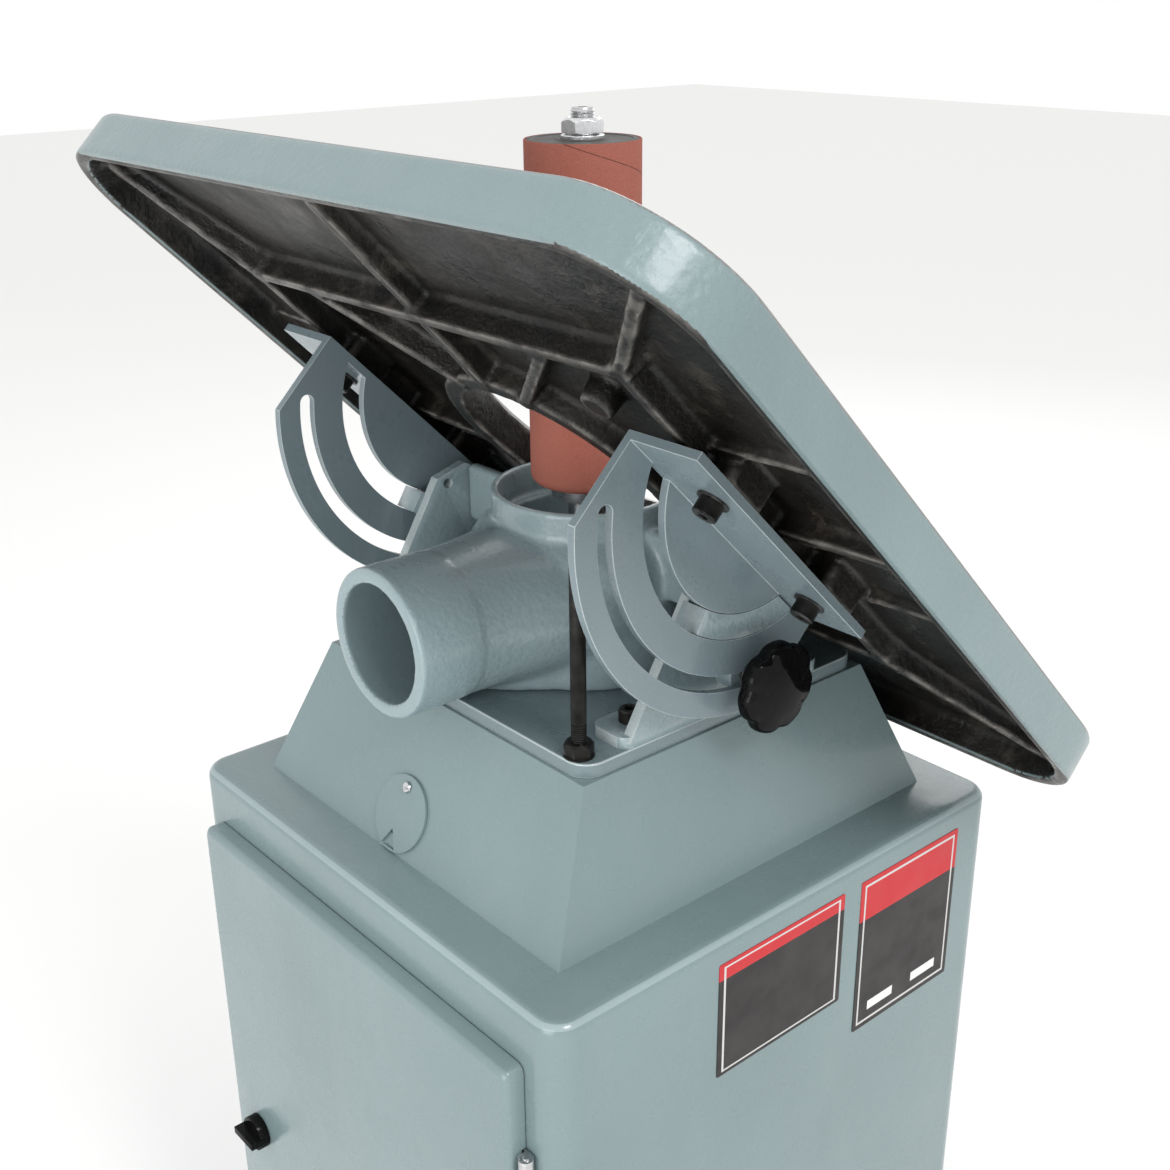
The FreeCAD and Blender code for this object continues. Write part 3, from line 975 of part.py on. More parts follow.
make_cabinet()
make_hood()
make_door()
make_switch()
make_gland()
make_foils()
make_base_plate()
make_chute()
make_trunnion_base("left", 1)
make_trunnion_base("right", -1)
make_cap_screws("trunnion_base_screws", FOOT_SCREWS, "foot_screw_length", "foot_head", "foot_head_high")
make_stop()
make_trunnion_plate("left", 1)
make_trunnion_plate("right", -1)
make_table()
make_table_screws()
make_locks()
make_spindle()
make_quill()
make_guide()
make_gearbox()
make_drive()
make_crank()
make_belt()
make_motor()
doc.removeObject("probe")
doc.recompute()

os.makedirs("parts", exist_ok=True)
for thing in doc.Objects:
    if "Invalid" in thing.State or "Error" in thing.State:
        raise SystemExit("failed feature: %s %s" % (thing.Name, thing.State))
for name, thing in nodes.items():
    if thing.Shape.isNull() or not thing.Shape.isValid() or not thing.Shape.Solids:
        raise SystemExit("bad solid: " + name)
for name, thing in nodes.items():
    thing.Shape.exportStep("parts/%s.step" % name)
print("%d nodes" % len(nodes))
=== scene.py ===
import json
from math import acos, asin, cos, degrees, hypot, pi, radians, sin

import bmesh
import bpy
from mathutils import Matrix, Vector


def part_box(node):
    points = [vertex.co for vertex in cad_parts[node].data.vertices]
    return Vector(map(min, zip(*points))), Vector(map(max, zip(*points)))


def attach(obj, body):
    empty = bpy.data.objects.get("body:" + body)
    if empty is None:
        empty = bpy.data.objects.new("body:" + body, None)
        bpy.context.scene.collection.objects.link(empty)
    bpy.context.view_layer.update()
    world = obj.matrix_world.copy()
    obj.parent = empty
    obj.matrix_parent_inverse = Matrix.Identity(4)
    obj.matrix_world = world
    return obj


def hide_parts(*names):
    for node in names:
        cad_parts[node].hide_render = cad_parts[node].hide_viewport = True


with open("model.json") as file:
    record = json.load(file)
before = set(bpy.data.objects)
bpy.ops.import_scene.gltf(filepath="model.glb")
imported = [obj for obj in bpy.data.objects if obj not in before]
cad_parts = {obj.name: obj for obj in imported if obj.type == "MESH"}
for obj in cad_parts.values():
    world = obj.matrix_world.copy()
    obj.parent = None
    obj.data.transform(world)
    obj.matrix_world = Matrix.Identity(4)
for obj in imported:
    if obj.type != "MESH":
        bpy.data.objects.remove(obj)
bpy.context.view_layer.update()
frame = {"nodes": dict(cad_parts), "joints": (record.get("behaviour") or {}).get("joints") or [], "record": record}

# Looks of the oscillating spindle sander.  Metres, in the frame of the CAD model:
# origin on the floor under the spindle, +Z up, dust port at +Y, tilt axis along X.

MM = 0.001
FAR = 0.1       # reaches well past any face that is cut through
JOINTS = {joint["name"]: joint for joint in frame["joints"]}
SLOT_OF = {part["node"]: part["material_slot"] for part in frame["record"]["subparts"]}
BODY_OF = {node: body for body, nodes in frame["record"]["behaviour"]["bodies"].items() for node in nodes}

PIVOT = Vector(JOINTS["table_tilt"]["pos_m"])
TILT = radians(45)
TABLE = Matrix.Translation(PIVOT) @ Matrix.Rotation(TILT, 4, "X")     # the table's own frame


# ---- camera, floor and light

CAMERA_PLACE = Vector((-0.7493, 0.6437, 1.2008))
CAMERA_TURN, CAMERA_DOWN, CAMERA_ROLL = radians(229.41), radians(22.36), radians(-0.56)
FOCAL_LENGTH, SENSOR_WIDTH = 45.9, 36


def axes(right, up, out, place):
    """Frame with X, Y and Z along three directions and its origin at a place."""
    return Matrix((
        (right.x, up.x, out.x, place.x), (right.y, up.y, out.y, place.y), (right.z, up.z, out.z, place.z),
        (0, 0, 0, 1)))


def make_camera():
    """Camera behind the machine on its label side, a little above the table."""
    flat = cos(CAMERA_DOWN)
    back = Vector((sin(CAMERA_TURN) * flat, -cos(CAMERA_TURN) * flat, sin(CAMERA_DOWN)))
    level = Vector((cos(CAMERA_TURN), sin(CAMERA_TURN), 0))
    steep = back.cross(level)
    right = level * cos(CAMERA_ROLL) + steep * sin(CAMERA_ROLL)
    up = steep * cos(CAMERA_ROLL) - level * sin(CAMERA_ROLL)
    data = bpy.data.cameras.new("camera")
    data.sensor_width = SENSOR_WIDTH
    data.lens = FOCAL_LENGTH
    data.clip_start = 0.05
    camera = bpy.data.objects.new("camera", data)
    camera.matrix_world = axes(right, up, back, CAMERA_PLACE)
    bpy.context.scene.collection.objects.link(camera)
    bpy.context.scene.camera = camera


def area_light(name, place, target, size, power):
    """Square soft light that looks from its place at its target."""
    data = bpy.data.lights.new(name, "AREA")
    data.size = size
    data.energy = power
    light = bpy.data.objects.new(name, data)
    light.location = place
    light.rotation_euler = (Vector(target) - Vector(place)).to_track_quat("-Z", "Y").to_euler()
    bpy.context.scene.collection.objects.link(light)


def make_studio():
    """Pale floor, plain white surroundings and three soft lights."""
    half = 12
    corners = [(-half, -half, 0), (half, -half, 0), (half, half, 0), (-half, half, 0)]
    mesh = bpy.data.meshes.new("studio_floor")
    mesh.from_pydata(corners, [], [(0, 1, 2, 3)])
    floor = bpy.data.objects.new("studio_floor", mesh)
    bpy.context.scene.collection.objects.link(floor)
    paint = shader("studio_floor", 0.9)
    paint.inputs["Base Color"].default_value = (0.86, 0.86, 0.85, 1)
    mesh.materials.append(LOOKS["studio_floor"])
    world = bpy.data.worlds.new("studio")
    bpy.context.scene.world = world
    world.use_nodes = True
    sky = world.node_tree.nodes["Background"]
    sky.inputs["Color"].default_value = (1.0, 1.0, 1.0, 1)
    sky.inputs["Strength"].default_value = 1.0
    area_light("key", (-2.2, 0.3, 2.9), (0, 0, 0.85), 1.0, 40)
    area_light("fill", (-0.9, 2.6, 1.1), (0, 0, 0.8), 1.6, 30)
    area_light("front", (1.6, -2.6, 2.2), (0, 0, 0.7), 1.6, 14)
    view = bpy.context.scene.view_settings
    view.view_transform = "Standard"
    view.exposure = 0


# ---- material building blocks

LOOKS = {}      # every look by its own name
DRAWING = {}    # the node tree of the look that is being drawn


def shader(name, roughness, metallic=0.0, **sockets):
    """New look, kept by name, with constants on the sockets of its Principled node, which is returned."""
    material = LOOKS[name] = bpy.data.materials.new("look_" + name)
    material.use_nodes = True
    paint = material.node_tree.nodes["Principled BSDF"]
    paint.inputs["Roughness"].default_value = roughness
    paint.inputs["Metallic"].default_value = metallic
    for key, value in sockets.items():
        paint.inputs[key.replace("_", " ")].default_value = value
    DRAWING["tree"] = material.node_tree
    return paint


def link(source, target):
    DRAWING["tree"].links.new(source, target)


def add(kind, inputs=None, **settings):
    """New shader node; inputs are constants, or the socket that feeds each one."""
    made = DRAWING["tree"].nodes.new("ShaderNode" + kind)
    for key, value in settings.items():
        setattr(made, key, value)
    for key, value in (inputs or {}).items():
        if isinstance(value, bpy.types.NodeSocket):
            link(value, made.inputs[key])
        else:
            made.inputs[key].default_value = value
    return made


def here():
    """Coordinates in the frame of the CAD model, fixed to the piece."""
    found = DRAWING["tree"].nodes.get("here") or add("TexCoord", name="here")
    return found.outputs["Object"]


def noise(scale, detail=3.0, rough=0.5, stretch=None):
    """Cloudy pattern from 0 to 1, finer with a larger scale."""
    vector = here()
    if stretch is not None:
        vector = add("Mapping", {"Vector": vector, "Scale": stretch}).outputs["Vector"]
    return add("TexNoise", {"Vector": vector, "Scale": scale, "Detail": detail,
            "Roughness": rough}).outputs["Fac"]


def ramp(value, low, high, low_at=0.35, high_at=0.65):
    """Value taken from one number or colour to another between two thresholds."""
    if isinstance(low, tuple):
        return blend(ramp(value, 0.0, 1.0, low_at, high_at), low, high)
    limits = {"From Min": low_at, "From Max": high_at, "To Min": low, "To Max": high}
    return add("MapRange", {"Value": value, **limits}).outputs["Result"]


def blend(factor, under, over, mode="MIX"):
    """Colour `over` laid on colour `under` by a factor; colours are sockets or tuples."""
    mixed = add("Mix", {0: factor}, data_type="RGBA", blend_type=mode)
    sockets = [s for s in mixed.inputs if s.type == "RGBA"]
    for socket, value in zip(sockets, (under, over)):
        if isinstance(value, tuple):
            socket.default_value = (*value, 1)
        else:
            link(value, socket)
    return [s for s in mixed.outputs if s.type == "RGBA"][0]


def calc(operation, a, b=0.0):
    """Result of one arithmetic step on sockets or numbers."""
    return add("Math", {0: a, 1: b}, operation=operation).outputs[0]


def product(a, b):
    return calc("MULTIPLY", a, b)


def share(value, low, high):
    """Where a value lies between two limits, 0 at the first and 1 at the second."""
    return calc("DIVIDE", calc("SUBTRACT", value, low), high - low)


def window(value, low, high):
    """1 where value lies between two limits."""
    return product(calc("GREATER_THAN", value, low), calc("LESS_THAN", value, high))


def shade(tone, factor):
    return tuple(factor * c for c in tone)


def bump(paint, layers):
    """Chain of bumps: (height socket, depth in metres, strength)."""
    last = None
    for height, depth, strength in layers:
        made = add("Bump", {"Height": height, "Distance": depth, "Strength": strength})
        if last is not None:
            link(last.outputs["Normal"], made.inputs["Normal"])
        last = made
    link(last.outputs["Normal"], paint.inputs["Normal"])


def feed(paint, **sockets):
    """Link sockets to the inputs of the Principled node."""
    for key, value in sockets.items():
        link(value, paint.inputs[key.replace("_", " ")])


def edges(low=0.52, high=0.60):
    """1 on sharp convex edges."""
    point = add("NewGeometry").outputs["Pointiness"]
    return ramp(point, 0.0, 1.0, low, high)


# ---- materials

ENAMEL = (0.178, 0.242, 0.250)
ENAMEL_PALE = (0.172, 0.232, 0.240)
DUST, BARE = (0.40, 0.43, 0.42), (0.50, 0.52, 0.52)


def enamel(name, tone, peel, depth, rough=0.30, wear=0.0, speckle=0.03, coat=0.25):
    """Grey-green machine enamel: soft tone changes, orange peel, dust, handling marks and worn edges."""
    paint = shader(name, rough, Coat_Weight=coat, Coat_Roughness=0.12, Specular_IOR_Level=0.40)
    cloud = ramp(noise(5.0, 4.0), shade(tone, 0.93), shade(tone, 1.06), 0.3, 0.7)
    grit = ramp(noise(1500.0, 2.0), 1.0 - speckle, 1.0 + speckle)
    grey = add("CombineColor", {0: grit, 1: grit, 2: grit}).outputs[0]
    colour = blend(1.0, cloud, grey, "MULTIPLY")
    smear = noise(14.0, 5.0, 0.6, (1, 1, 0.25))
    colour = blend(ramp(smear, 0.0, 0.06, 0.52, 0.75), colour, DUST)
    if wear:
        patches = ramp(noise(60.0, 4.0), 0.0, wear, 0.42, 0.62)
        colour = blend(product(edges(), patches), colour, BARE)
    polish = ramp(noise(22.0, 5.0, 0.65), rough - 0.06, rough + 0.12, 0.3, 0.7)
    feed(paint, Base_Color=colour, Roughness=polish)
    grid = {"Vector": here(), "Scale": 1.0 / peel}
    cells = add("TexVoronoi", grid, feature="SMOOTH_F1").outputs["Distance"]
    bump(paint, [(noise(9.0, 2.0), 0.002, 0.15), (noise(0.6 / peel, 4.0, 0.6), depth, 0.8),
            (cells, depth, 0.5)])


def black_casting():
    """Near-black semi-gloss paint over a raw sand casting."""
    paint = shader("table_black", 0.42, Specular_IOR_Level=0.30)
    colour = ramp(noise(12.0, 6.0, 0.6), (0.004, 0.004, 0.004), (0.016, 0.014, 0.012), 0.3, 0.7)
    dust = ramp(noise(38.0, 6.0, 0.7, (1, 0.35, 1)), 0.0, 0.34, 0.54, 0.72)
    colour = blend(dust, colour, (0.11, 0.095, 0.078))
    rubbed = ramp(noise(70.0, 3.0), 0.1, 0.9, 0.35, 0.6)
    colour = blend(product(edges(0.51, 0.56), rubbed), colour, (0.26, 0.245, 0.225))
    feed(paint, Base_Color=colour, Roughness=ramp(noise(30.0, 5.0), 0.20, 0.52, 0.3, 0.7))
    bump(paint, [(noise(35.0, 4.0, 0.6), 0.0025, 0.8),
            (noise(260.0, 4.0, 0.65), 0.0009, 0.7)])


def ground_iron():
    """Surface-ground cast iron: fine straight grinding lines, graphite specks and an oily bloom."""
    paint = shader("table_ground", 0.38, 1.0, Anisotropic=0.4)
    lines = noise(260.0, 3.0, 0.7, (0.02, 1, 1))
    fleck = noise(2200.0, 2.0)
    colour = ramp(lines, (0.25, 0.25, 0.246), (0.36, 0.36, 0.352), 0.3, 0.7)
    colour = blend(ramp(fleck, 0.0, 0.5, 0.60, 0.72), colour, (0.16, 0.16, 0.16))
    colour = blend(ramp(noise(7.0, 5.0), 0.0, 0.3, 0.5, 0.75), colour, (0.30, 0.275, 0.24))
    feed(paint, Base_Color=colour, Roughness=ramp(noise(16.0, 5.0), 0.26, 0.44, 0.3, 0.7))
    bump(paint, [(lines, 0.0001, 0.4), (fleck, 0.00005, 0.3)])


def metal(name, low, high, rough, lines=(1, 1, 1), scale=400.0, depth=0.0001):
    """Bare or plated metal with tool marks along one direction, stains and a varying polish."""
    paint = shader(name, rough, 1.0)
    marks = noise(scale, 4.0, 0.6, lines)
    colour = ramp(marks, low, high, 0.3, 0.7)
    stain = ramp(noise(30.0, 5.0), 0.0, 0.35, 0.55, 0.75)
    colour = blend(stain, colour, shade(low, 0.55))
    polish = ramp(noise(60.0, 4.0), rough - 0.08, rough + 0.12, 0.3, 0.7)
    feed(paint, Base_Color=colour, Roughness=polish)
    bump(paint, [(marks, depth, 0.5)])


def black_oxide():
    """Oiled black screws, rubbed through to grey on their edges."""
    paint = shader("black_oxide", 0.36, 0.5, Specular_IOR_Level=0.2)
    colour = ramp(noise(120.0, 5.0), (0.007, 0.0066, 0.0062), (0.020, 0.019, 0.018), 0.3, 0.7)
    rub = product(edges(0.53, 0.60), ramp(noise(200.0, 3.0), 0.0, 0.5))
    colour = blend(rub, colour, (0.22, 0.22, 0.22))
    feed(paint, Base_Color=colour, Roughness=ramp(noise(90.0, 4.0), 0.32, 0.55))
    bump(paint, [(noise(900.0, 3.0), 0.00006, 0.5)])


def abrasive():
    """Red-brown grit on cloth: grains, pale crystals, cloudy wear and a spiral butt seam."""
    paint = shader("abrasive", 0.88, Specular_IOR_Level=0.35)
    grains = add("TexVoronoi", {"Vector": here(), "Scale": 1700.0}).outputs["Distance"]
    colour = ramp(grains, (0.380, 0.118, 0.084), (0.250, 0.074, 0.052), 0.0, 0.75)
    pale = ramp(noise(2600.0, 2.0), 0.0, 0.5, 0.62, 0.72)
    colour = blend(pale, colour, (0.52, 0.30, 0.25))
    cloud = ramp(noise(26.0, 5.0, 0.6, (1, 1, 0.4)), 0.0, 0.28, 0.42, 0.72)
    colour = blend(cloud, colour, (0.32, 0.125, 0.092))
    seam = seam_mask()
    colour = blend(seam, colour, (0.12, 0.04, 0.028))
    feed(paint, Base_Color=colour)
    bump(paint, [(calc("SUBTRACT", 1.0, seam), 0.0004, 0.7), (grains, 0.0003, 0.8),
            (noise(180.0, 3.0), 0.0002, 0.3)])


def seam_mask():
    """1 on the narrow joint that winds up the sleeve from its foot to its top."""
    turns, phase = 2.9, 0.764
    low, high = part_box("sanding_sleeve")
    split = add("SeparateXYZ", {0: here()})
    angle = calc("ARCTAN2", split.outputs["Y"], split.outputs["X"])
    around = calc("DIVIDE", calc("ADD", angle, pi), 2 * pi)
    wound = calc("ADD", around, product(share(split.outputs["Z"], low.z, high.z), turns))
    gap = calc("FRACT", calc("ADD", wound, phase))
    return ramp(calc("ABSOLUTE", calc("SUBTRACT", gap, 0.5)), 1.0, 0.0, 0.0015, 0.005)


def plastic(name, tone, rough, grain, depth, coat=0.0, shine=0.5, dusty=0.06):
    """Moulded or painted surface with a fine grain and a little dust."""
    paint = shader(name, rough, Coat_Weight=coat, Coat_Roughness=0.05, Specular_IOR_Level=shine)
    colour = ramp(noise(18.0, 4.0), shade(tone, 0.8), shade(tone, 1.2))
    dust = ramp(noise(150.0, 5.0, 0.7), 0.0, dusty, 0.55, 0.75)
    polish = ramp(noise(45.0, 4.0), max(0.03, rough - 0.05), rough + 0.1, 0.3, 0.7)
    feed(paint, Base_Color=blend(dust, colour, (0.4, 0.4, 0.4)), Roughness=polish)
    bump(paint, [(noise(grain, 3.0), depth, 0.5)])


def foil(name, node):
    """Printed foil with no wording: a red band over a black field, a pale hairline frame and blank fields."""
    paint = shader(name, 0.35, Specular_IOR_Level=0.25)
    low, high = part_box(node)
    split = add("SeparateXYZ", {0: here()})
    up = share(split.outputs["Z"], low.z, high.z)
    across = share(split.outputs["Y"], low.y, high.y)
    field = ramp(noise(40.0, 4.0), (0.016, 0.014, 0.014), (0.030, 0.027, 0.026), 0.3, 0.7)
    band = calc("GREATER_THAN", up, 0.74 if node == "data_plate" else 0.86)
    colour = blend(band, field, (0.50, 0.022, 0.028))
    outer = product(window(across, 0.035, 0.965), window(up, 0.03, 0.97))
    inner = product(window(across, 0.05, 0.95), window(up, 0.045, 0.955))
    hairline = product(outer, calc("SUBTRACT", 1.0, inner))
    colour = blend(hairline, colour, (0.55, 0.55, 0.54))
    if node == "data_plate":
        pair = calc("ADD", window(across, 0.14, 0.40), window(across, 0.60, 0.86))
        fields = product(window(up, 0.10, 0.16), pair)
        colour = blend(fields, colour, (0.72, 0.72, 0.70))
    feed(paint, Base_Color=colour, Roughness=ramp(noise(60.0, 4.0), 0.28, 0.45))
    bump(paint, [(noise(900.0, 2.0), 0.00003, 0.4)])


def make_materials():
    enamel("sheet_enamel", ENAMEL, 0.0050, 0.00012, rough=0.24)
    # The casting's enamel is the machine's same paint in a lighter tone: painted light for the casting, which
    # stands in the shade under the table.
    enamel("cast_enamel", (0.240, 0.315, 0.335), 0.0032, 0.0005, rough=0.24, wear=0.5, speckle=0.05, coat=0.4)
    enamel("deck_enamel", (0.150, 0.203, 0.218), 0.0040, 0.0002, rough=0.26)
    enamel("plate_enamel", (0.175, 0.228, 0.250), 0.0040, 0.00016, rough=0.26)
    enamel("table_enamel", ENAMEL_PALE, 0.0042, 0.0008, rough=0.32, speckle=0.05, coat=0.35)
    # Lighter enamel for the painted highlight along the cabinet's rolled top edge.
    enamel("roll_highlight_enamel", (0.27, 0.34, 0.35), 0.0040, 0.0001, rough=0.20)
    # Pale enamel for bevelled edges: partly worn paint, partly a painted highlight along the edges.
    enamel("worn_and_highlight_edge", (0.40, 0.46, 0.47), 0.0020, 0.0002, rough=0.22, speckle=0.12, coat=0.5)
    black_casting()
    ground_iron()
    black_oxide()
    abrasive()
    metal("zinc", (0.62, 0.63, 0.64), (0.80, 0.81, 0.82), 0.22)
    metal("bright_steel", (0.45, 0.45, 0.46), (0.62, 0.62, 0.63), 0.28, (1, 1, 12), 60.0)
    metal("machine_iron", (0.20, 0.20, 0.21), (0.32, 0.32, 0.32), 0.45, scale=200.0, depth=0.0002)
    metal("pulley_alloy", (0.62, 0.63, 0.64), (0.76, 0.77, 0.78), 0.30, (1, 1, 14), 60.0)
    metal("bronze", (0.42, 0.24, 0.09), (0.62, 0.38, 0.16), 0.30)
    plastic("motor_paint", (0.020, 0.022, 0.025), 0.38, 700.0, 0.0002, 0.2)
    plastic("drum_rubber", (0.030, 0.028, 0.026), 0.62, 500.0, 0.0002)
    plastic("belt_rubber", (0.016, 0.016, 0.016), 0.7, 600.0, 0.0002)
    plastic("knob_plastic", (0.004, 0.004, 0.004), 0.16, 60.0, 0.0002, coat=0.25, shine=0.0, dusty=0.010)
    plastic("switch_plastic", (0.016, 0.016, 0.017), 0.5, 1400.0, 0.0003)
    plastic("button_green", (0.02, 0.30, 0.07), 0.2, 300.0, 0.0001, 0.5)
    plastic("button_red", (0.52, 0.018, 0.018), 0.2, 300.0, 0.0001, 0.5)
    for node, name in SPECIAL.items():
        foil(name, node)


SPECIAL = {"data_plate": "data_foil", "notice_plate": "notice_foil"}     # nodes with a look of their own
SAME = {"table_iron": "table_black"}                                     # slots with a look of another name


def material_of(node):
    """Look of a CAD node, by its own name or its material slot."""
    slot = SLOT_OF[node]
    return LOOKS[SPECIAL.get(node) or SAME.get(slot) or slot]


def dress_nodes():
    """Give every carried-over node its material."""
    for name, obj in frame["nodes"].items():
        if not obj.material_slots:
            obj.data.materials.append(material_of(name))
        for slot in obj.material_slots:
            slot.material = material_of(name)


# ---- mesh building blocks

QUARTER = [radians(15 * i) for i in range(7)]
FINE_QUARTER = [radians(10 * i) for i in range(10)]


def circle(radius, x=0.0, y=0.0, steps=64):
    return arc(x, y, radius, 0, 360 - 360 / steps, steps - 1)


def arc(x, y, radius, start, end, steps=12):
    """Points along an arc; angles in degrees."""
    turns = [radians(start + (end - start) * i / steps) for i in range(steps + 1)]
    return [(x + radius * cos(t), y + radius * sin(t)) for t in turns]


def rounded_box(low_x, low_y, high_x, high_y, radius, steps=10):
    """Outline of a rectangle with round corners."""
    return (arc(high_x - radius, low_y + radius, radius, -90, 0, steps)
            + arc(high_x - radius, high_y - radius, radius, 0, 90, steps)
            + arc(low_x + radius, high_y - radius, radius, 90, 180, steps)
            + arc(low_x + radius, low_y + radius, radius, 180, 270, steps))


def plate(loops, low, high):
    """Flat plate between two heights; the first outline is its edge, the others are holes."""
    shape = bmesh.new()
    rims = []
    for loop in loops:
        verts = [shape.verts.new((x, y, low)) for x, y in loop]
        rims += [shape.edges.new(pair) for pair in zip(verts, verts[1:] + verts[:1])]
    bmesh.ops.triangle_fill(shape, use_beauty=True, use_dissolve=False, edges=rims)
    seams = [edge for edge in shape.edges if not edge.is_boundary]
    bmesh.ops.dissolve_limit(shape, angle_limit=radians(1), verts=[], edges=seams)
    made = bmesh.ops.extrude_face_region(shape, geom=shape.faces[:], use_keep_orig=True)
    top = [v for v in made["geom"] if isinstance(v, bmesh.types.BMVert)]
    bmesh.ops.translate(shape, vec=(0, 0, high - low), verts=top)
    return tidy(shape)


def tidy(shape):
    """The shape with all its faces turned outwards."""
    bmesh.ops.recalc_face_normals(shape, faces=shape.faces[:])
    return shape


def loft(rings):
    """Solid through outlines with equal numbers of points, closed at both ends."""
    shape = bmesh.new()
    rows = [[shape.verts.new(point) for point in ring] for ring in rings]
    for low, high in zip(rows, rows[1:]):
        for i in range(len(low)):
            j = (i + 1) % len(low)
            shape.faces.new((low[i], low[j], high[j], high[i]))
    shape.faces.new(rows[0])
    shape.faces.new(rows[-1])
    return tidy(shape)


def lathe(profile, steps=64, flute=None):
    """Solid of revolution about Z of a closed outline of (radius, height); flute scales the radius."""
    shape = bmesh.new()
    rings = []
    for radius, z in profile:
        turns = [2 * pi * i / steps for i in range(steps)] if radius > 1e-9 else [0.0]
        scale = [flute(t, radius, z) if flute else 1.0 for t in turns]
        rings.append([shape.verts.new((radius * k * cos(t), radius * k * sin(t), z))
                for t, k in zip(turns, scale)])
    for low, high in zip(rings, rings[1:] + rings[:1]):
        for i in range(steps):
            j = (i + 1) % steps
            corners = [low[i % len(low)], low[j % len(low)], high[j % len(high)], high[i % len(high)]]
            corners = list(dict.fromkeys(corners))
            if len(corners) > 2:
                shape.faces.new(corners)
    return tidy(shape)


def rod(radius, low, high, steps):
    """Cylinder about Z between two heights."""
    return lathe([(0, low), (radius, low), (radius, high), (0, high)], steps)


def block(low, high):
    """Box between two corners."""
    shape = bmesh.new()
    size = Vector(high) - Vector(low)
    place = Matrix.Translation((Vector(low) + Vector(high)) / 2) @ Matrix.Diagonal((*size, 1))
    bmesh.ops.create_cube(shape, size=1.0, matrix=place)
    return shape


def hull(points):
    """Smallest convex solid around the points."""
    shape = bmesh.new()
    verts = [shape.verts.new(p) for p in points]
    bmesh.ops.convex_hull(shape, input=verts)
    return tidy(shape)


def prism(sides, flats, low, high):
    """Hexagon or other regular prism about Z."""
    return plate([circle(flats / 2 / cos(pi / sides), steps=sides)], low, high)


def moved(shape, matrix):
    bmesh.ops.transform(shape, matrix=matrix, verts=shape.verts[:])
    if matrix.determinant() < 0:
        bmesh.ops.reverse_faces(shape, faces=shape.faces[:])
    return shape


def shifted(shape, x=0.0, y=0.0, z=0.0):
    return moved(shape, Matrix.Translation((x, y, z)))


def joined(shapes):
    """Several solids in one mesh, left apart."""
    whole = bmesh.new()
    for shape in shapes:
        mesh = bpy.data.meshes.new("part")
        shape.to_mesh(mesh)
        shape.free()
        whole.from_mesh(mesh)
        bpy.data.meshes.remove(mesh)
    return whole


def as_object(shape, name="temporary"):
    mesh = bpy.data.meshes.new(name)
    shape.to_mesh(mesh)
    shape.free()
    obj = bpy.data.objects.new(name, mesh)
    bpy.context.scene.collection.objects.link(obj)
    return obj


def back_to_shape(obj):
    """The mesh of a temporary object with its modifiers applied; the object goes."""
    graph = bpy.context.evaluated_depsgraph_get()
    mesh = bpy.data.meshes.new_from_object(obj.evaluated_get(graph))
    shape = bmesh.new()
    shape.from_mesh(mesh)
    bpy.data.meshes.remove(mesh)
    bpy.data.objects.remove(obj)
    return shape


def combine(base, others, operation="DIFFERENCE"):
    """Boolean of one solid with each of the others in turn."""
    for other in others:
        target, tool = as_object(base), as_object(other, "tool")
        change = target.modifiers.new("boolean", "BOOLEAN")
        change.operation = operation
        change.solver = "EXACT"
        change.object = tool
        base = back_to_shape(target)
        bpy.data.objects.remove(tool)
    bmesh.ops.remove_doubles(base, verts=base.verts[:], dist=1e-6)
    return base


def melt(shapes, voxel, rounds):
    """Solids run together like a casting, with every corner softened."""
    obj = as_object(joined(shapes))
    remesh = obj.modifiers.new("remesh", "REMESH")
    remesh.mode = "VOXEL"
    remesh.voxel_size = voxel
    smooth = obj.modifiers.new("smooth", "SMOOTH")
    smooth.factor = 0.5
    smooth.iterations = rounds
    return back_to_shape(obj)


def piece(name, shape, node, paints=None, edge=0.0, edge_paint=None, limit=30, segments=2, pick=None):
    """Finished piece standing for a CAD node: it rides on the node's body and takes the given looks, or else the
    look of the node's material slot.
    """
    obj = as_object(shape, name)
    mesh = obj.data
    for look in [LOOKS[paint] for paint in paints] if paints else [material_of(node)]:
        mesh.materials.append(look)
    for face in mesh.polygons:
        face.use_smooth = True
        if pick is not None:
            face.material_index = pick(face)
    if edge:
        bevel = obj.modifiers.new("bevel", "BEVEL")
        bevel.width = edge
        bevel.segments = segments
        bevel.limit_method = "ANGLE"
        bevel.angle_limit = radians(limit)
        bevel.harden_normals = True
        # The bevels take the edge look; the pale edge enamel there is partly wear, partly a painted highlight.
        if edge_paint:
            mesh.materials.append(LOOKS[edge_paint])
            bevel.material = len(mesh.materials) - 1
    else:
        mesh.set_sharp_from_angle(angle=radians(40))
    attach(obj, BODY_OF[node])
    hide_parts(node)
    return obj


ALONG_X = Matrix(((0, 0, 1, 0), (1, 0, 0, 0), (0, 1, 0, 0), (0, 0, 0, 1)))     # drawn in (Y, Z), thick in X
ALONG_Y = Matrix(((0, 1, 0, 0), (0, 0, 1, 0), (1, 0, 0, 0), (0, 0, 0, 1)))     # turned about an axis along Y


# ---- cast table

# In the table's own frame: x across, s up the slope, heights from the tilt axis.
TABLE_HALF, TABLE_SHIFT = 304.5 * MM, -7 * MM
TABLE_TOP, TABLE_LIP, TABLE_CORNER = 3 * MM, -31 * MM, 78 * MM
SKIRT, DECK_LOW, RIB_LOW, HUB_LOW = 10 * MM, -9 * MM, -27 * MM, -25 * MM
HOLE, RECESS, HUB = 84 * MM, 93 * MM, 99 * MM
FRAME_X, FRAME_S, SCREW_X, SCREW_S = 186 * MM, 168 * MM, 192 * MM, 62 * MM
TOP_ROUND, LIP_ROUND = 4 * MM, 1.2 * MM


def table_outline(inset, z):
    half = TABLE_HALF - inset
    flat = rounded_box(-half, TABLE_SHIFT - half, half, TABLE_SHIFT + half, TABLE_CORNER - inset, 16)
    return [(x, y, z) for x, y in flat]


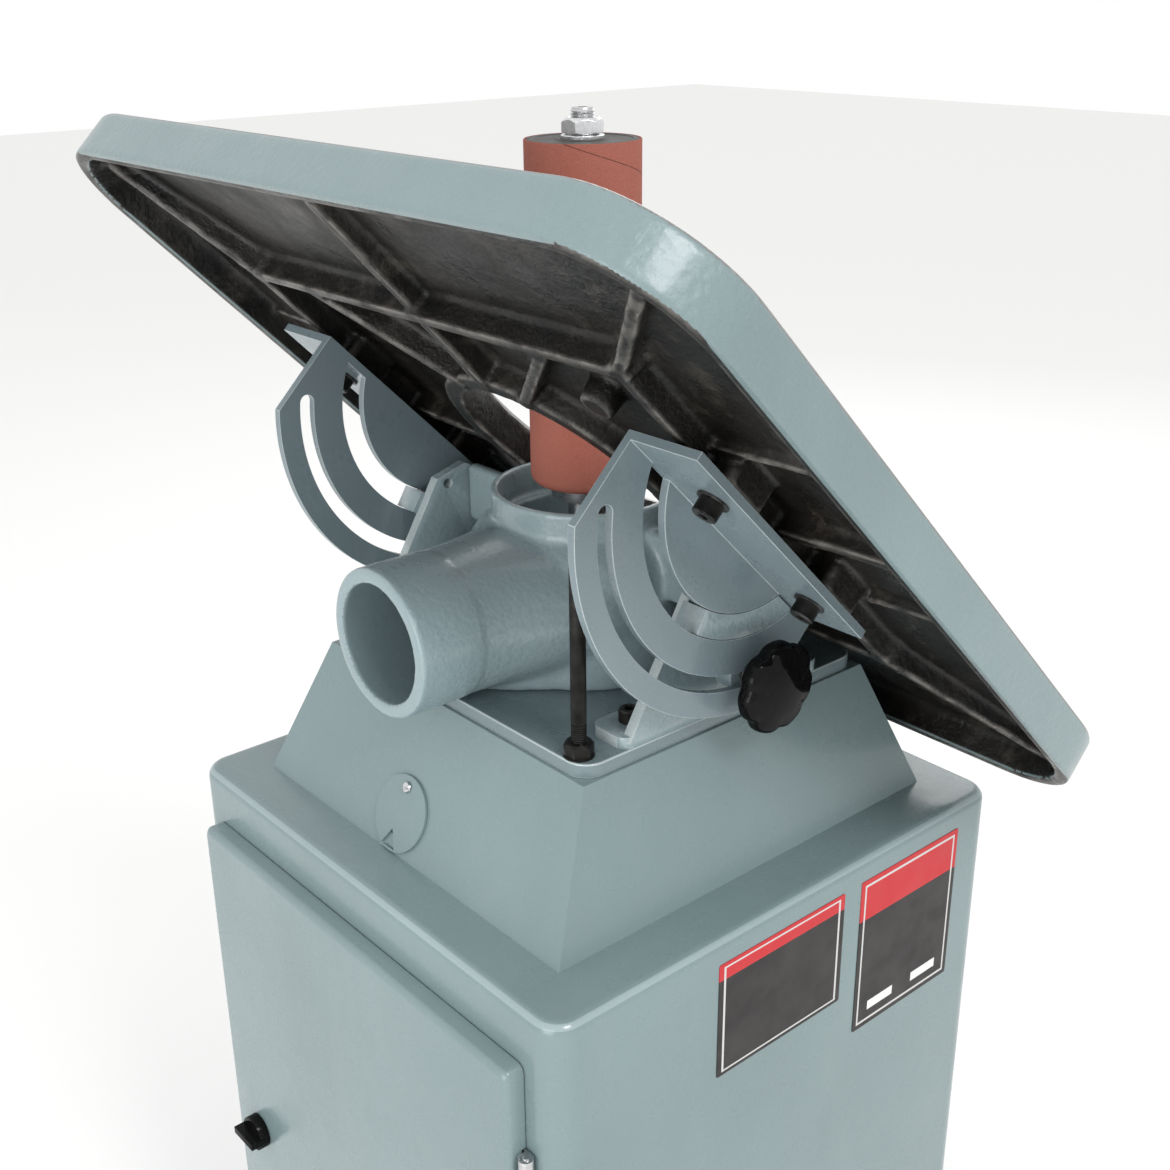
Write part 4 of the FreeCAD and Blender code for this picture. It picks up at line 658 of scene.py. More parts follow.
def rib(start, end, thick, top=DECK_LOW + 3 * MM, low_start=RIB_LOW, low_end=RIB_LOW, draft=1.6 * MM):
    """Cast rib under the deck, thicker at its root, from one point to another."""
    a, b = Vector((*start, 0)), Vector((*end, 0))
    side = (b - a).normalized().cross(Vector((0, 0, 1)))
    points = []
    for p, low in ((a, low_start), (b, low_end)):
        for sign in (-1, 1):
            points.append(p + side * sign * (thick / 2 + draft) + Vector((0, 0, top)))
            points.append(p + side * sign * thick / 2 + Vector((0, 0, low)))
    return hull(points)


def table_ribs():
    """Rib grid, screw pads, hub and stop pad under the deck."""
    thick, strong, shallow, overlap = 8 * MM, 9 * MM, -19 * MM, 9 * MM
    brace_thick, brace_start, brace_end = 5 * MM, -17 * MM, -13 * MM
    pad, pad_corner, root = 20 * MM, 6 * MM, DECK_LOW + 2 * MM
    reach, spoke_x, spoke_s = TABLE_HALF - SKIRT / 2, 31 * MM, 84.5 * MM
    corner = reach - TABLE_CORNER * 0.27
    ribs = []
    for sign in (-1, 1):
        ribs.append(rib((-FRAME_X, sign * FRAME_S), (FRAME_X, sign * FRAME_S), thick))
        ribs.append(rib((sign * FRAME_X, -FRAME_S), (sign * FRAME_X, FRAME_S), thick))
        ribs.append(rib((sign * (HUB - overlap), 0), (sign * reach, 0), thick, low_end=shallow))
        for turn in (-1, 1):
            knee = (sign * FRAME_X, turn * FRAME_S)
            ribs.append(rib(knee, (sign * corner, turn * corner + TABLE_SHIFT), thick, low_end=shallow))
            ribs.append(rib((sign * spoke_x, turn * spoke_s), (sign * FRAME_X * 0.66, turn * FRAME_S), thick))
            x, s = sign * SCREW_X, turn * SCREW_S
            ribs.append(plate([rounded_box(x - pad, s - pad, x + pad, s + pad, pad_corner)], TABLE_LIP, root))
            knot = [(0, RIB_LOW), (7 * MM, RIB_LOW), (11 * MM, DECK_LOW + MM), (0, DECK_LOW + MM)]
            ribs.append(shifted(lathe(knot, 24), *knee))
            for along in (-0.5, 0.5):
                s = turn * FRAME_S * along
                ribs.append(rib((sign * (FRAME_X + 4 * MM), s), (sign * reach, s), brace_thick,
                        low_start=brace_start, low_end=brace_end))
    ribs.append(rib((0, HUB - overlap), (0, reach + TABLE_SHIFT), strong, low_end=shallow))
    ribs.append(rib((0, -HUB + overlap), (0, -FRAME_S), strong))
    ribs.append(lathe([(HOLE, HUB_LOW), (HUB, HUB_LOW), (HUB + 3 * MM, root), (HOLE, root)], 128))
    low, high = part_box("stop_bolt")
    stop_low = -26.3 * MM
    stop_pad = lathe([(0, stop_low), (11 * MM, stop_low), (13 * MM, DECK_LOW), (0, DECK_LOW)], 32)
    ribs.append(shifted(stop_pad, (low.x + high.x) / 2, (low.y + high.y) / 2))
    return ribs


def table_paint(face):
    """0 on the ground top, 1 on the enamelled skirt, 2 on the black underside."""
    x, s, height = face.center
    side = max(abs(x), abs(s - TABLE_SHIFT))
    dx = max(0, abs(x) - (TABLE_HALF - TABLE_CORNER))
    ds = max(0, abs(s - TABLE_SHIFT) - (TABLE_HALF - TABLE_CORNER))
    outside = side > TABLE_HALF - SKIRT or hypot(dx, ds) > TABLE_CORNER - SKIRT
    if face.normal.z > 0.5 and height > TABLE_TOP - 5 * MM:
        return 0
    if outside and (height > TABLE_LIP + MM or side > TABLE_HALF - 4 * MM):
        return 1
    return 2


def make_table():
    rings = [table_outline(LIP_ROUND, TABLE_LIP), table_outline(0, TABLE_LIP + LIP_ROUND)]
    rings += [table_outline(TOP_ROUND * (1 - cos(t)), TABLE_TOP - TOP_ROUND * (1 - sin(t)))
            for t in QUARTER]
    draft, ledge = 4 * MM, TABLE_TOP - 4 * MM
    pocket = loft([table_outline(inset, z) for inset, z in (
        (SKIRT - MM, TABLE_LIP - MM), (SKIRT, TABLE_LIP + MM), (SKIRT + draft, DECK_LOW - 3 * MM),
        (SKIRT + 2 * draft, DECK_LOW))])
    way = lathe([(0, -FAR), (HOLE, -FAR), (HOLE, ledge), (RECESS, ledge), (RECESS, FAR), (0, FAR)], 128)
    shape = combine(loft(rings), [pocket, way])
    shape = melt([shape] + table_ribs(), 2.0 * MM, 2)
    casting = piece("cast_table", shape, "table_casting", ["table_ground", "table_enamel", "table_black"],
            pick=table_paint)
    casting.data.transform(TABLE)


# ---- trunnions

QUADRANT, QUAD_HALF, QUAD_THICK = 148 * MM, 113 * MM, 6 * MM
SLOT, CRESCENT = (120.25 * MM, 131.25 * MM), (79 * MM, 96.5 * MM)
FLANGE_LOW, FLANGE_TOP, FLANGE_FRONT = -37 * MM, -31 * MM, -98 * MM


def slot_outline(low, high, half_angle):
    """Curved slot about the tilt axis, centred straight below it, with round ends."""
    middle, width = (low + high) / 2, (high - low) / 2
    first, last = -90 - half_angle, -90 + half_angle
    start, end = arc(0, 0, middle, first, last, 1)
    return (arc(0, 0, high, first, last, 48)[1:-1] + arc(*end, width, last, last + 180, 10)
            + arc(0, 0, low, last, first, 48)[1:-1] + arc(*start, width, first + 180, first + 360, 10))


def below_flange(radius, steps):
    """Arc of a circle about the tilt axis that lies under the flange, from +s round to -s."""
    end = degrees(asin(-FLANGE_LOW / radius))
    return arc(0, 0, radius, -end, -180 + end, steps)


def make_quadrants():
    """Slotted plates that carry the table, each with a flange under two of its pads."""
    side = degrees(acos(QUAD_HALF / QUADRANT))
    rim = arc(0, 0, QUADRANT, -side, -180 + side, 56)
    outline = [(QUAD_HALF, FLANGE_TOP)] + rim + [(-QUAD_HALF, FLANGE_TOP)]
    crescent = below_flange(CRESCENT[1], 40) + below_flange(CRESCENT[0], 40)[::-1]
    for node in ("trunnion_plate_left", "trunnion_plate_right"):
        low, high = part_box(node)
        sign = 1 if low.x > 0 else -1
        near, away = (low.x, high.x) if sign > 0 else (high.x, low.x)
        shape = moved(plate([outline, slot_outline(*SLOT, 51.5), crescent], 0, QUAD_THICK), ALONG_X)
        shape = shifted(shape, near if sign > 0 else near - QUAD_THICK)
        x0, x1 = sorted((near, away))
        flat = [(x0, FLANGE_FRONT), (x1, FLANGE_FRONT), (x1, QUAD_HALF), (x0, QUAD_HALF)]
        holes = [circle(4.5 * MM, sign * SCREW_X, s, 32) for s in (-SCREW_S, SCREW_S)]
        shape = combine(shape, [plate([flat] + holes, FLANGE_LOW, FLANGE_TOP)], "UNION")
        piece(node + "_steel", moved(shape, TABLE), node, ["plate_enamel"], 0.7 * MM, "worn_and_highlight_edge")


def painted_highlight_web(face):
    """1 on the narrow rear-facing edge face of a bracket's web, which takes the pale edge enamel as a painted
    highlight.
    """
    above_foot = face.center.z > PIVOT.z - 155 * MM
    faces_back = face.normal.y > 0.45 and abs(face.normal.x) < 0.3
    return 1 if above_foot and faces_back and abs(face.center.x) < 143 * MM else 0


def own_shape(node, gap, bend):
    """A node's own shape with double points and the seams of its flat faces taken out."""
    shape = bmesh.new()
    shape.from_mesh(frame["nodes"][node].data)
    bmesh.ops.remove_doubles(shape, verts=shape.verts[:], dist=gap)
    bmesh.ops.dissolve_limit(shape, angle_limit=radians(bend), verts=shape.verts[:],
            edges=shape.edges[:])
    return shape


def make_brackets():
    """Foot, upright web with its sloping edge face painted light as a highlight, arc key and lock boss."""
    for node in ("trunnion_base_left", "trunnion_base_right"):
        piece(node + "_cast", own_shape(node, 1e-5, 1.0), node, ["cast_enamel", "worn_and_highlight_edge"], 0.8 * MM,
              "worn_and_highlight_edge", limit=28, pick=painted_highlight_web)


# ---- chute casting

PORT_Z = JOINTS["table_tilt"]["pos_m"][2] - 104.5 * MM
PORT, BORE, COLLAR, BELL, RING, THROAT = 50.8 * MM, 40.4 * MM, 129 * MM, 84 * MM, 66.5 * MM, 61.5 * MM


def neck(floor, shoulder):
    """Passage that eases from the bell's full width to the round hose port."""
    start, end, count = 10 * MM, COLLAR + 2 * MM, 12
    around = [2 * pi * k / 64 for k in range(64)]
    rings = []
    for i in range(count + 1):
        t = i / count
        ease = t * t * (3 - 2 * t)
        wide = (BELL - MM) * (1 - ease) + (PORT - 0.6 * MM) * ease
        tall = (shoulder - floor) / 2 * (1 - ease) + (PORT - 0.6 * MM) * ease
        mid = (shoulder + floor) / 2 * (1 - ease) + PORT_Z * ease
        y = start + (end - start) * t
        rings.append([(wide * cos(a), y, mid + tall * sin(a)) for a in around])
    return loft(rings)


def relief():
    """Room in front of the throat for the tilted table, outside a ball within its opening."""
    room = moved(block((-0.4, -0.8, -29 * MM), (0.4, 0, 0.6)), TABLE)
    ball = bmesh.new()
    bmesh.ops.create_uvsphere(ball, u_segments=96, v_segments=48, radius=HOLE - MM,
            matrix=Matrix.Translation(PIVOT))
    return combine(room, [ball])


def chute_paint(face):
    """1 in the bore of the hose port."""
    off_axis = hypot(face.center.x, face.center.z - PORT_Z)
    return 1 if off_axis < BORE + MM and face.center.y > BELL else 0


def make_chute():
    """Bell, throat ring, neck, floor skirt and lugs run together, then bored and faced."""
    low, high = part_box("chute_housing")
    floor, face, top, shoulder, rounding = low.z, high.y, high.z, high.z - 18 * MM, 30 * MM
    dome = [(BELL - rounding * (1 - cos(t)), shoulder - rounding * (1 - sin(t)))
            for t in FINE_QUARTER]
    skirt = [(-75, 10), (-75, 36), (-31, 90), (0, 118), (31, 90), (75, 36), (75, 10)]
    lug_end, lug_half, lug_top, lug_high = 133.2 * MM, 5.5 * MM, floor + 105.5 * MM, 45 * MM
    soft = melt([
        lathe([(0, floor), (BELL, floor)] + dome + [(0, shoulder)], 96),
        rod(RING, shoulder - 25 * MM, top, 96), neck(floor, shoulder),
        plate([[(x * MM, y * MM) for x, y in skirt]], floor, PORT_Z - 10 * MM),
        block((-lug_end, -lug_half, lug_top - lug_high), (lug_end, lug_half, lug_top))], 2.0 * MM, 10)
    collar = lathe([(BORE - 2 * MM, COLLAR), (PORT, COLLAR), (PORT, face - MM), (PORT - MM, face),
            (BORE, face), (BORE, face - 6 * MM), (BORE - 2 * MM, face - 6 * MM)], 96)
    ring = lathe([(THROAT, shoulder), (RING, shoulder), (RING, top - MM), (RING - MM, top),
            (THROAT + MM, top), (THROAT, top - MM)], 96)
    under, step = floor - 0.01, shoulder - 6 * MM
    way = lathe([(0, under), (56 * MM, under), (56 * MM, step), (THROAT, step), (THROAT, top + 0.05),
            (0, top + 0.05)], 96)
    port_way = shifted(moved(rod(BORE, 0, 0.3, 96), ALONG_Y), z=PORT_Z)
    whole = melt([soft, ring, shifted(moved(collar, ALONG_Y), z=PORT_Z)], 1.6 * MM, 0)
    whole = melt([combine(whole, [way, port_way, relief()])], 1.5 * MM, 3)
    piece("dust_chute_casting", whole, "chute_housing", ["cast_enamel", "deck_enamel"], pick=chute_paint)


# ---- drum and spindle top

DRUM_WALL, DRUM_TURN, ARBOR = 1.2 * MM, 7 * MM, 9.5 * MM


def make_sleeve():
    """Paper sleeve, very slightly out of round, turned in at its foot."""
    low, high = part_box("sanding_sleeve")
    radius, inner, soft = high.x, high.x - DRUM_WALL, 0.5 * MM
    foot = [(radius - DRUM_TURN + DRUM_TURN * cos(t - pi / 2),
            low.z + DRUM_TURN + DRUM_TURN * sin(t - pi / 2)) for t in FINE_QUARTER]
    lip = [(radius, high.z - soft), (radius - 0.4 * MM, high.z), (inner + 0.2 * MM, high.z),
           (inner, high.z - soft)]
    back = [(inner, low.z + DRUM_TURN), (radius - DRUM_TURN, low.z + DRUM_WALL)]
    shape = lathe(foot + lip + back, 128, lambda t, r, z: 1 - 0.002 * (0.5 + 0.5 * sin(3 * t + 40 * z)))
    piece("abrasive_sleeve", shape, "sanding_sleeve", ["abrasive"])


def make_core():
    low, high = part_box("drum_core")
    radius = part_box("sanding_sleeve")[1].x
    foot, skin = low.z + 0.2 * MM, radius - DRUM_WALL - 0.1 * MM
    core = lathe([(radius - DRUM_TURN, foot), (skin, low.z + DRUM_TURN), (skin, high.z), (ARBOR, high.z),
            (ARBOR, foot)], 96)
    piece("drum_rubber_core", core, "drum_core", ["drum_rubber"], 0.5 * MM)


def make_top_disc():
    """Disc on the drum with a shallow groove between its rim and its middle."""
    low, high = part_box("top_washer")
    edge, top, groove = high.x, high.z, high.z - 0.6 * MM
    disc = lathe([(ARBOR, low.z), (edge, low.z), (edge, top - 1.2 * MM), (edge - 0.8 * MM, top),
            (edge - 4 * MM, top), (edge - 5 * MM, groove), (ARBOR + 9 * MM, groove),
            (ARBOR + 8 * MM, top), (ARBOR, top)], 96)
    piece("drum_top_disc", disc, "top_washer", ["drum_rubber"], 0.3 * MM)


def make_spindle_nut():
    """Hexagon nut with rounded corners, a countersunk bore and a washer face."""
    low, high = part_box("spindle_nut")
    flats, bore = 24 * MM, 8.2 * MM
    seat, half = low.z + 2.5 * MM, flats / 2
    span = half / cos(pi / 6) + 0.5 * MM
    dome = lathe([(0, low.z), (half - MM, seat), (span, seat + 2 * MM), (span, high.z - 3.2 * MM),
            (half - 1.2 * MM, high.z), (0, high.z)], 96)
    way = lathe([(0, -1), (bore, -1), (bore, high.z - 0.8 * MM), (9 * MM, high.z + 0.1 * MM), (9 * MM, 2),
            (0, 2)], 48)
    nut = combine(combine(prism(6, flats, seat, high.z), [dome], "INTERSECT"), [way])
    flange = lathe([(bore, low.z), (high.x, low.z), (high.x, seat - 0.5 * MM), (high.x - 0.8 * MM, seat),
            (bore, seat)], 64)
    piece("spindle_hex_nut", joined([nut, flange]), "spindle_nut", ["zinc"], 0.35 * MM)


def thread(radius, low, high, pitch, depth):
    """Ridges of a screw thread as points of a turned outline, from low to high."""
    count = max(1, round((high - low) / pitch))
    step = (high - low) / count
    root = radius - depth
    points = []
    for i in range(count):
        z = low + i * step
        points += [(root, z), (root, z + 0.15 * step), (radius, z + 0.45 * step), (radius, z + 0.6 * step),
                (root, z + 0.9 * step)]
    return points


def make_spindle_shaft():
    """Shaft with a shoulder under the drum, a threaded end and a hexagon socket in the end."""
    low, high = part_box("spindle_shaft")
    drum_low, thread_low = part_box("sanding_sleeve")[0].z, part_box("spindle_nut")[0].z - 2 * MM
    shank, shoulder, stud = 12.5 * MM, 24 * MM, 8 * MM
    profile = [(0, low.z), (shank - MM, low.z), (shank, low.z + MM), (shank, drum_low - 14 * MM),
            (shoulder, drum_low - 10 * MM), (shoulder, drum_low), (ARBOR, drum_low), (ARBOR, thread_low)]
    profile += thread(stud, thread_low, high.z - 1.2 * MM, 2 * MM, 0.8 * MM)
    profile += [(stud - 1.2 * MM, high.z), (0, high.z)]
    socket = prism(6, 6 * MM, high.z - 5 * MM, high.z + MM)
    piece("spindle_bar", combine(lathe(profile, 64), [socket]), "spindle_shaft", ["bright_steel"])


# ---- fasteners

def cap_screw(head, high, shank, length, socket):
    """Socket-head screw along Z: seat at 0, head above, finely knurled."""
    def knurl(turn, radius, z):
        grooved = radius > head - 0.1 * MM and 0.8 * MM < z < high - 1.2 * MM
        return 1 - (0.018 if grooved and round(turn / (2 * pi) * 96) % 2 else 0.0)

    profile = [(0, -length), (shank - 0.6 * MM, -length), (shank, -length + 0.6 * MM)]
    profile += thread(shank, -length + 0.6 * MM, -0.5 * MM, 1.25 * MM, 0.5 * MM)
    profile += [(shank, -0.3 * MM), (shank, 0), (head - 0.5 * MM, 0), (head, 0.5 * MM), (head, 0.9 * MM),
            (head, high - 1.3 * MM), (head, high - 0.9 * MM), (head - 0.9 * MM, high), (0, high)]
    return combine(lathe(profile, 96, knurl), [prism(6, socket, high * 0.45, high + MM)])


def make_foot_screws():
    """Screws of the brackets' feet, at the corners of their node's box."""
    low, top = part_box("trunnion_base_screws")
    head, high = 7 * MM, 9 * MM
    screws = []
    for x in (low.x + head, top.x - head):
        for y in (low.y + head, top.y - head):
            screws.append(shifted(cap_screw(head, high, 4 * MM, 18 * MM, 6 * MM), x, y, top.z - high))
    piece("foot_screws", joined(screws), "trunnion_base_screws", ["black_oxide"])


def make_table_screws():
    """Screws and washers that hold the quadrants' flanges under the table."""
    head, high, flip = 8 * MM, 10 * MM, Matrix.Rotation(pi, 4, "X")
    washer, bore, rim, soft = 1.6 * MM, 4.3 * MM, 10.5 * MM, 0.3 * MM
    screws, washers = [], []
    for x in (-SCREW_X, SCREW_X):
        for s in (-SCREW_S, SCREW_S):
            seat = TABLE @ Matrix.Translation((x, s, FLANGE_LOW - washer))
            screws.append(moved(cap_screw(head, high, 4 * MM, 20 * MM, 6 * MM), seat @ flip))
            ring = lathe([(bore, 0), (rim - soft, 0), (rim, soft), (rim, washer - soft), (rim - soft, washer),
                    (bore, washer)], 48)
            washers.append(moved(ring, seat))
    piece("table_screws", joined(screws), "trunnion_screws", ["black_oxide"])
    piece("table_screw_washers", joined(washers), "trunnion_washers", ["black_oxide"])


def make_stop():
    """Stop screw with a rounded tip, threaded at its foot, and its flanged lock nut."""
    low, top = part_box("stop_bolt")
    x, y, radius = (low.x + top.x) / 2, (low.y + top.y) / 2, (top.x - low.x) / 2
    profile = [(0, low.z), (radius - MM, low.z)]
    profile += thread(radius, low.z + MM, low.z + 30 * MM, 1.5 * MM, 0.6 * MM)
    profile += [(radius, low.z + 31 * MM), (radius, top.z - 2 * MM), (radius - 0.6 * MM, top.z - 0.6 * MM),
            (radius - 2 * MM, top.z), (0, top.z)]
    piece("stop_screw", shifted(lathe(profile, 48), x, y), "stop_bolt", ["black_oxide"])

    low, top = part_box("stop_nut")
    flats, rim, skirt_top, bore = 17 * MM, (top.x - low.x) / 2, low.z + 2.4 * MM, radius + 0.02 * MM
    dome = lathe([(0, low.z), (flats * 0.6, low.z), (flats * 0.6, top.z - 2.4 * MM),
            (flats / 2 - 0.6 * MM, top.z), (0, top.z)], 64)
    skirt = lathe([(0, low.z), (rim, low.z), (rim, low.z + 0.8 * MM), (rim - 2.5 * MM, skirt_top),
            (0, skirt_top)], 64)
    nut = combine(prism(6, flats, low.z + 1.5 * MM, top.z), [dome], "INTERSECT")
    nut = combine(combine(nut, [skirt], "UNION"), [rod(bore, 0, 2, 48)])
    piece("stop_lock_nut", shifted(nut, x, y), "stop_nut", ["black_oxide"], 0.3 * MM)


# ---- lock knobs

KNOB_NECK = 11 * MM


def lobes(turn, radius, z):
    """Seven broad lobes with narrow shallow hollows, on the rim of the knob's head only."""
    hollow = (0.5 + 0.5 * cos(7 * turn)) ** 3
    return 1 - 0.075 * hollow * min(1.0, radius / (27 * MM)) ** 5 * (1.0 if z > KNOB_NECK - MM else 0.0)


def make_knobs():
    """Lobed knobs on the lock studs, each facing away from the machine."""
    rim, bore, depth, stem = 6 * MM, 5.06 * MM, 15 * MM, 10.8 * MM
    outward = Matrix(((0, 0, 1, 0), (0, 1, 0, 0), (-1, 0, 0, 0), (0, 0, 0, 1)))
    for node in ("lock_knob_left", "lock_knob_right"):
        low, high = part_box(node)
        thick, middle = high.x - low.x, (high.y - low.y) / 2 - rim
        foot = [(bore, 0), (stem - MM, 0), (stem, MM), (stem, KNOB_NECK - 3 * MM), (stem + 3 * MM, KNOB_NECK)]
        back = [(middle + rim * sin(t), KNOB_NECK + rim - rim * cos(t)) for t in QUARTER]
        front = [(middle + rim * cos(t), thick - 4 * MM - rim + rim * sin(t)) for t in QUARTER]
        dome = [(20 * MM, thick - 2.5 * MM), (14 * MM, thick - 1.2 * MM), (8 * MM, thick - 0.4 * MM),
                (3 * MM, thick), (0, thick)]
        shape = lathe(foot + back + front + dome + [(0, depth), (bore, depth)], 168, lobes)
        turn = outward if low.x > 0 else Matrix.Rotation(pi, 4, "Z") @ outward
        centre = Vector((low.x if low.x > 0 else high.x, *JOINTS["lock_left_turn"]["pos_m"][1:]))
        piece(node + "_lobed", moved(shape, Matrix.Translation(centre) @ turn), node, ["knob_plastic"])


# ---- sheet metal

SHEET, COVER_PIN = 2 * MM, 19 * MM


def frustum(low_box, high_box):
    """Four-sided solid between two rectangles given as ((x0, y0), (x1, y1), z)."""
    corners = []
    for (x0, y0), (x1, y1), z in (low_box, high_box):
        corners += [(x, y, z) for x in (x0, x1) for y in (y0, y1)]
    return hull(corners)


def make_hood():
    """Pyramid of sheet, open below, with the spindle's way in its top and a hole behind its cover."""
    low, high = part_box("hood_shell")
    top_low, top_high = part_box("base_plate")
    x0, y0, x1, y1 = top_low.x - SHEET, top_low.y - SHEET, top_high.x + SHEET, top_high.y + SHEET
    outside = frustum(((low.x, low.y), (high.x, high.y), low.z), ((x0, y0), (x1, y1), high.z))
    inside = frustum(((low.x + SHEET, low.y + SHEET), (high.x - SHEET, high.y - SHEET), low.z - 0.1 * MM),
            ((x0 + SHEET, y0 + SHEET), (x1 - SHEET, y1 - SHEET), high.z - SHEET))
    way = rod(66 * MM, high.z - 0.02, high.z + 0.02, 64)
    peep = moved(rod(17 * MM, -0.02, 0.02, 48), hood_face())
    hood = combine(outside, [inside, way, peep])
    piece("hood_sheet", hood, "hood_shell", ["sheet_enamel"], 1.5 * MM, "worn_and_highlight_edge")


def hood_face():
    """Frame on the hood's rear face at the middle of the round cover: Z off the face, Y up the slope."""
    out = Vector(JOINTS["cover_swing"]["axis"]).normalized()
    up = out.cross(Vector((1, 0, 0)))
    up = up if up.z > 0 else -up
    return axes(up.cross(out), up, out, Vector(JOINTS["cover_swing"]["pos_m"]) - up * COVER_PIN)


def make_cover():
    """Round cover with a notch at its foot, and the slotted screw that it swings on."""
    pin = shifted(rod(2.1 * MM, 0, 3 * MM, 24), y=COVER_PIN)
    notch_at = Matrix.Translation((-3 * MM, -21 * MM, 0)) @ Matrix.Rotation(radians(-30), 4, "Z")
    notch = moved(prism(3, 9 * MM, 0, 3 * MM), notch_at)
    disc = combine(rod(27 * MM, 0.3 * MM, 2.3 * MM, 96), [pin, notch])
    piece("hood_round_cover", moved(disc, hood_face()), "hood_cover", ["sheet_enamel"], 0.5 * MM, "worn_and_highlight_edge")
    head, shank, foot = 4 * MM, 2 * MM, -11 * MM
    screw = lathe([(0, foot), (shank, foot), (shank, 2.4 * MM), (head, 2.6 * MM), (head, 3.4 * MM),
            (3.4 * MM, 4.4 * MM), (1.8 * MM, 4.95 * MM), (0, 5 * MM)], 32)
    screw = combine(screw, [block((-head, -0.5 * MM, 3.9 * MM), (head, 0.5 * MM, 6 * MM))])
    screw = moved(shifted(screw, y=COVER_PIN), hood_face())
    piece("hood_cover_pivot", screw, "hood_cover_screw", ["zinc"], 0.15 * MM)


def make_base_plate():
    low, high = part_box("base_plate")
    shape = plate([rounded_box(low.x, low.y, high.x, high.y, 16 * MM, 16)], low.z, high.z)
    shape = combine(shape, [rod(31 * MM, low.z - MM, high.z + MM, 96)])
    piece("base_plate_machined", shape, "base_plate", ["deck_enamel"], 1.0 * MM, "worn_and_highlight_edge")


def inset_box(low, high, inset, z, corner):
    return [(x, y, z) for x, y in rounded_box(low.x + inset, low.y + inset, high.x - inset, high.y - inset,
            max(corner - inset, 2 * MM), 8)]


def make_cabinet():
    """Bent sheet cabinet with a rolled top edge that carries a painted highlight, a floor flange with anchor
    holes, and its door opening.
    """
    low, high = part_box("cabinet_shell")
    door_low, door_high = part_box("access_door")
    corner, roll, flange, opening, step = 20 * MM, 8 * MM, 45 * MM, 125 * MM, 24 * MM
    bend, bend_low = roll - SHEET, high.z - roll
    rings = [inset_box(low, high, 0, low.z, corner)]
    rings += [inset_box(low, high, roll * (1 - cos(t)), high.z - roll * (1 - sin(t)), corner)
            for t in QUARTER]
    inner = [inset_box(low, high, SHEET, low.z + SHEET, corner)]
    inner += [inset_box(low, high, SHEET + bend * (1 - cos(t)), bend_low + bend * sin(t), corner)
            for t in QUARTER]
    gaps = [loft(inner),
            block((-opening, -opening, high.z - 4 * SHEET), (opening, opening, high.z + SHEET)),
            block((low.x + flange, low.y + flange, low.z - SHEET),
            (high.x - flange, high.y - flange, low.z + 2 * SHEET)),
            block((door_low.x + step, high.y - 2 * SHEET, door_low.z + step),
            (door_high.x - step, high.y + SHEET, door_high.z - step))]
    for x in (-185 * MM, 185 * MM):
        for y in (-183 * MM, 183 * MM):
            gaps.append(shifted(rod(5.5 * MM, -0.01, 0.01, 32), x, y))

    # Faces half way round the rolled top edge take the lighter enamel: a painted highlight along the roll.
    def painted_highlight_roll(face):
        return 1 if 0.6 < face.normal.z < 0.8 and face.center.z > bend_low else 0

    piece("cabinet_body", combine(loft(rings), gaps), "cabinet_shell", ["sheet_enamel", "roll_highlight_enamel"],
          0.4 * MM, limit=40, pick=painted_highlight_roll)


def make_door():
    """Pan-shaped door with a rounded front edge, a hole for its latch and cut-outs for its hinge leaves."""
    low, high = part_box("access_door")
    edge, corner = 5 * MM, 6 * MM
    bend_y = high.y - edge

    def outline(inset, y, round_corner):
        flat = rounded_box(low.x + inset, low.z + inset, high.x - inset, high.z - inset, round_corner, 6)
        return [(x, y, z) for x, z in flat]

    rings = [outline(0, low.y, corner), outline(0, bend_y, corner)]
    rings += [outline(edge * (1 - cos(t)), high.y - edge * (1 - sin(t)), corner)
            for t in QUARTER[1:]]
    inner = [outline(SHEET, low.y - MM, 4 * MM), outline(SHEET, bend_y, 4 * MM),
            outline(2 * SHEET, high.y - SHEET, 3 * MM)]
    latch = Matrix.Translation(JOINTS["latch_turn"]["pos_m"])
    gaps = [loft(inner), moved(rod(6 * MM, -0.05, 0.05, 32), latch @ ALONG_Y)]
    heights = sorted({round(v.co.z, 4) for v in frame["nodes"]["door_hinge_leaves"].data.vertices})
    middle = (heights[0] + heights[-1]) / 2
    for leaf in ([z for z in heights if z < middle], [z for z in heights if z > middle]):
        gaps.append(block((low.x - MM, low.y - MM, leaf[0] - 0.3 * MM),
                (low.x + 12 * MM, low.y + 3.2 * MM, leaf[-1] + 0.3 * MM)))
    piece("rear_door", combine(loft(rings), gaps), "access_door", ["sheet_enamel"], 0.4 * MM)


def make_labels():
    for node, foil_name in SPECIAL.items():
        low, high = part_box(node)
        shape = plate([rounded_box(low.y, low.z, high.y, high.z, 1.5 * MM, 4)], 0, high.x - low.x)
        piece(node + "_foil", shifted(moved(shape, ALONG_X), low.x), node, [foil_name], 0.15 * MM)


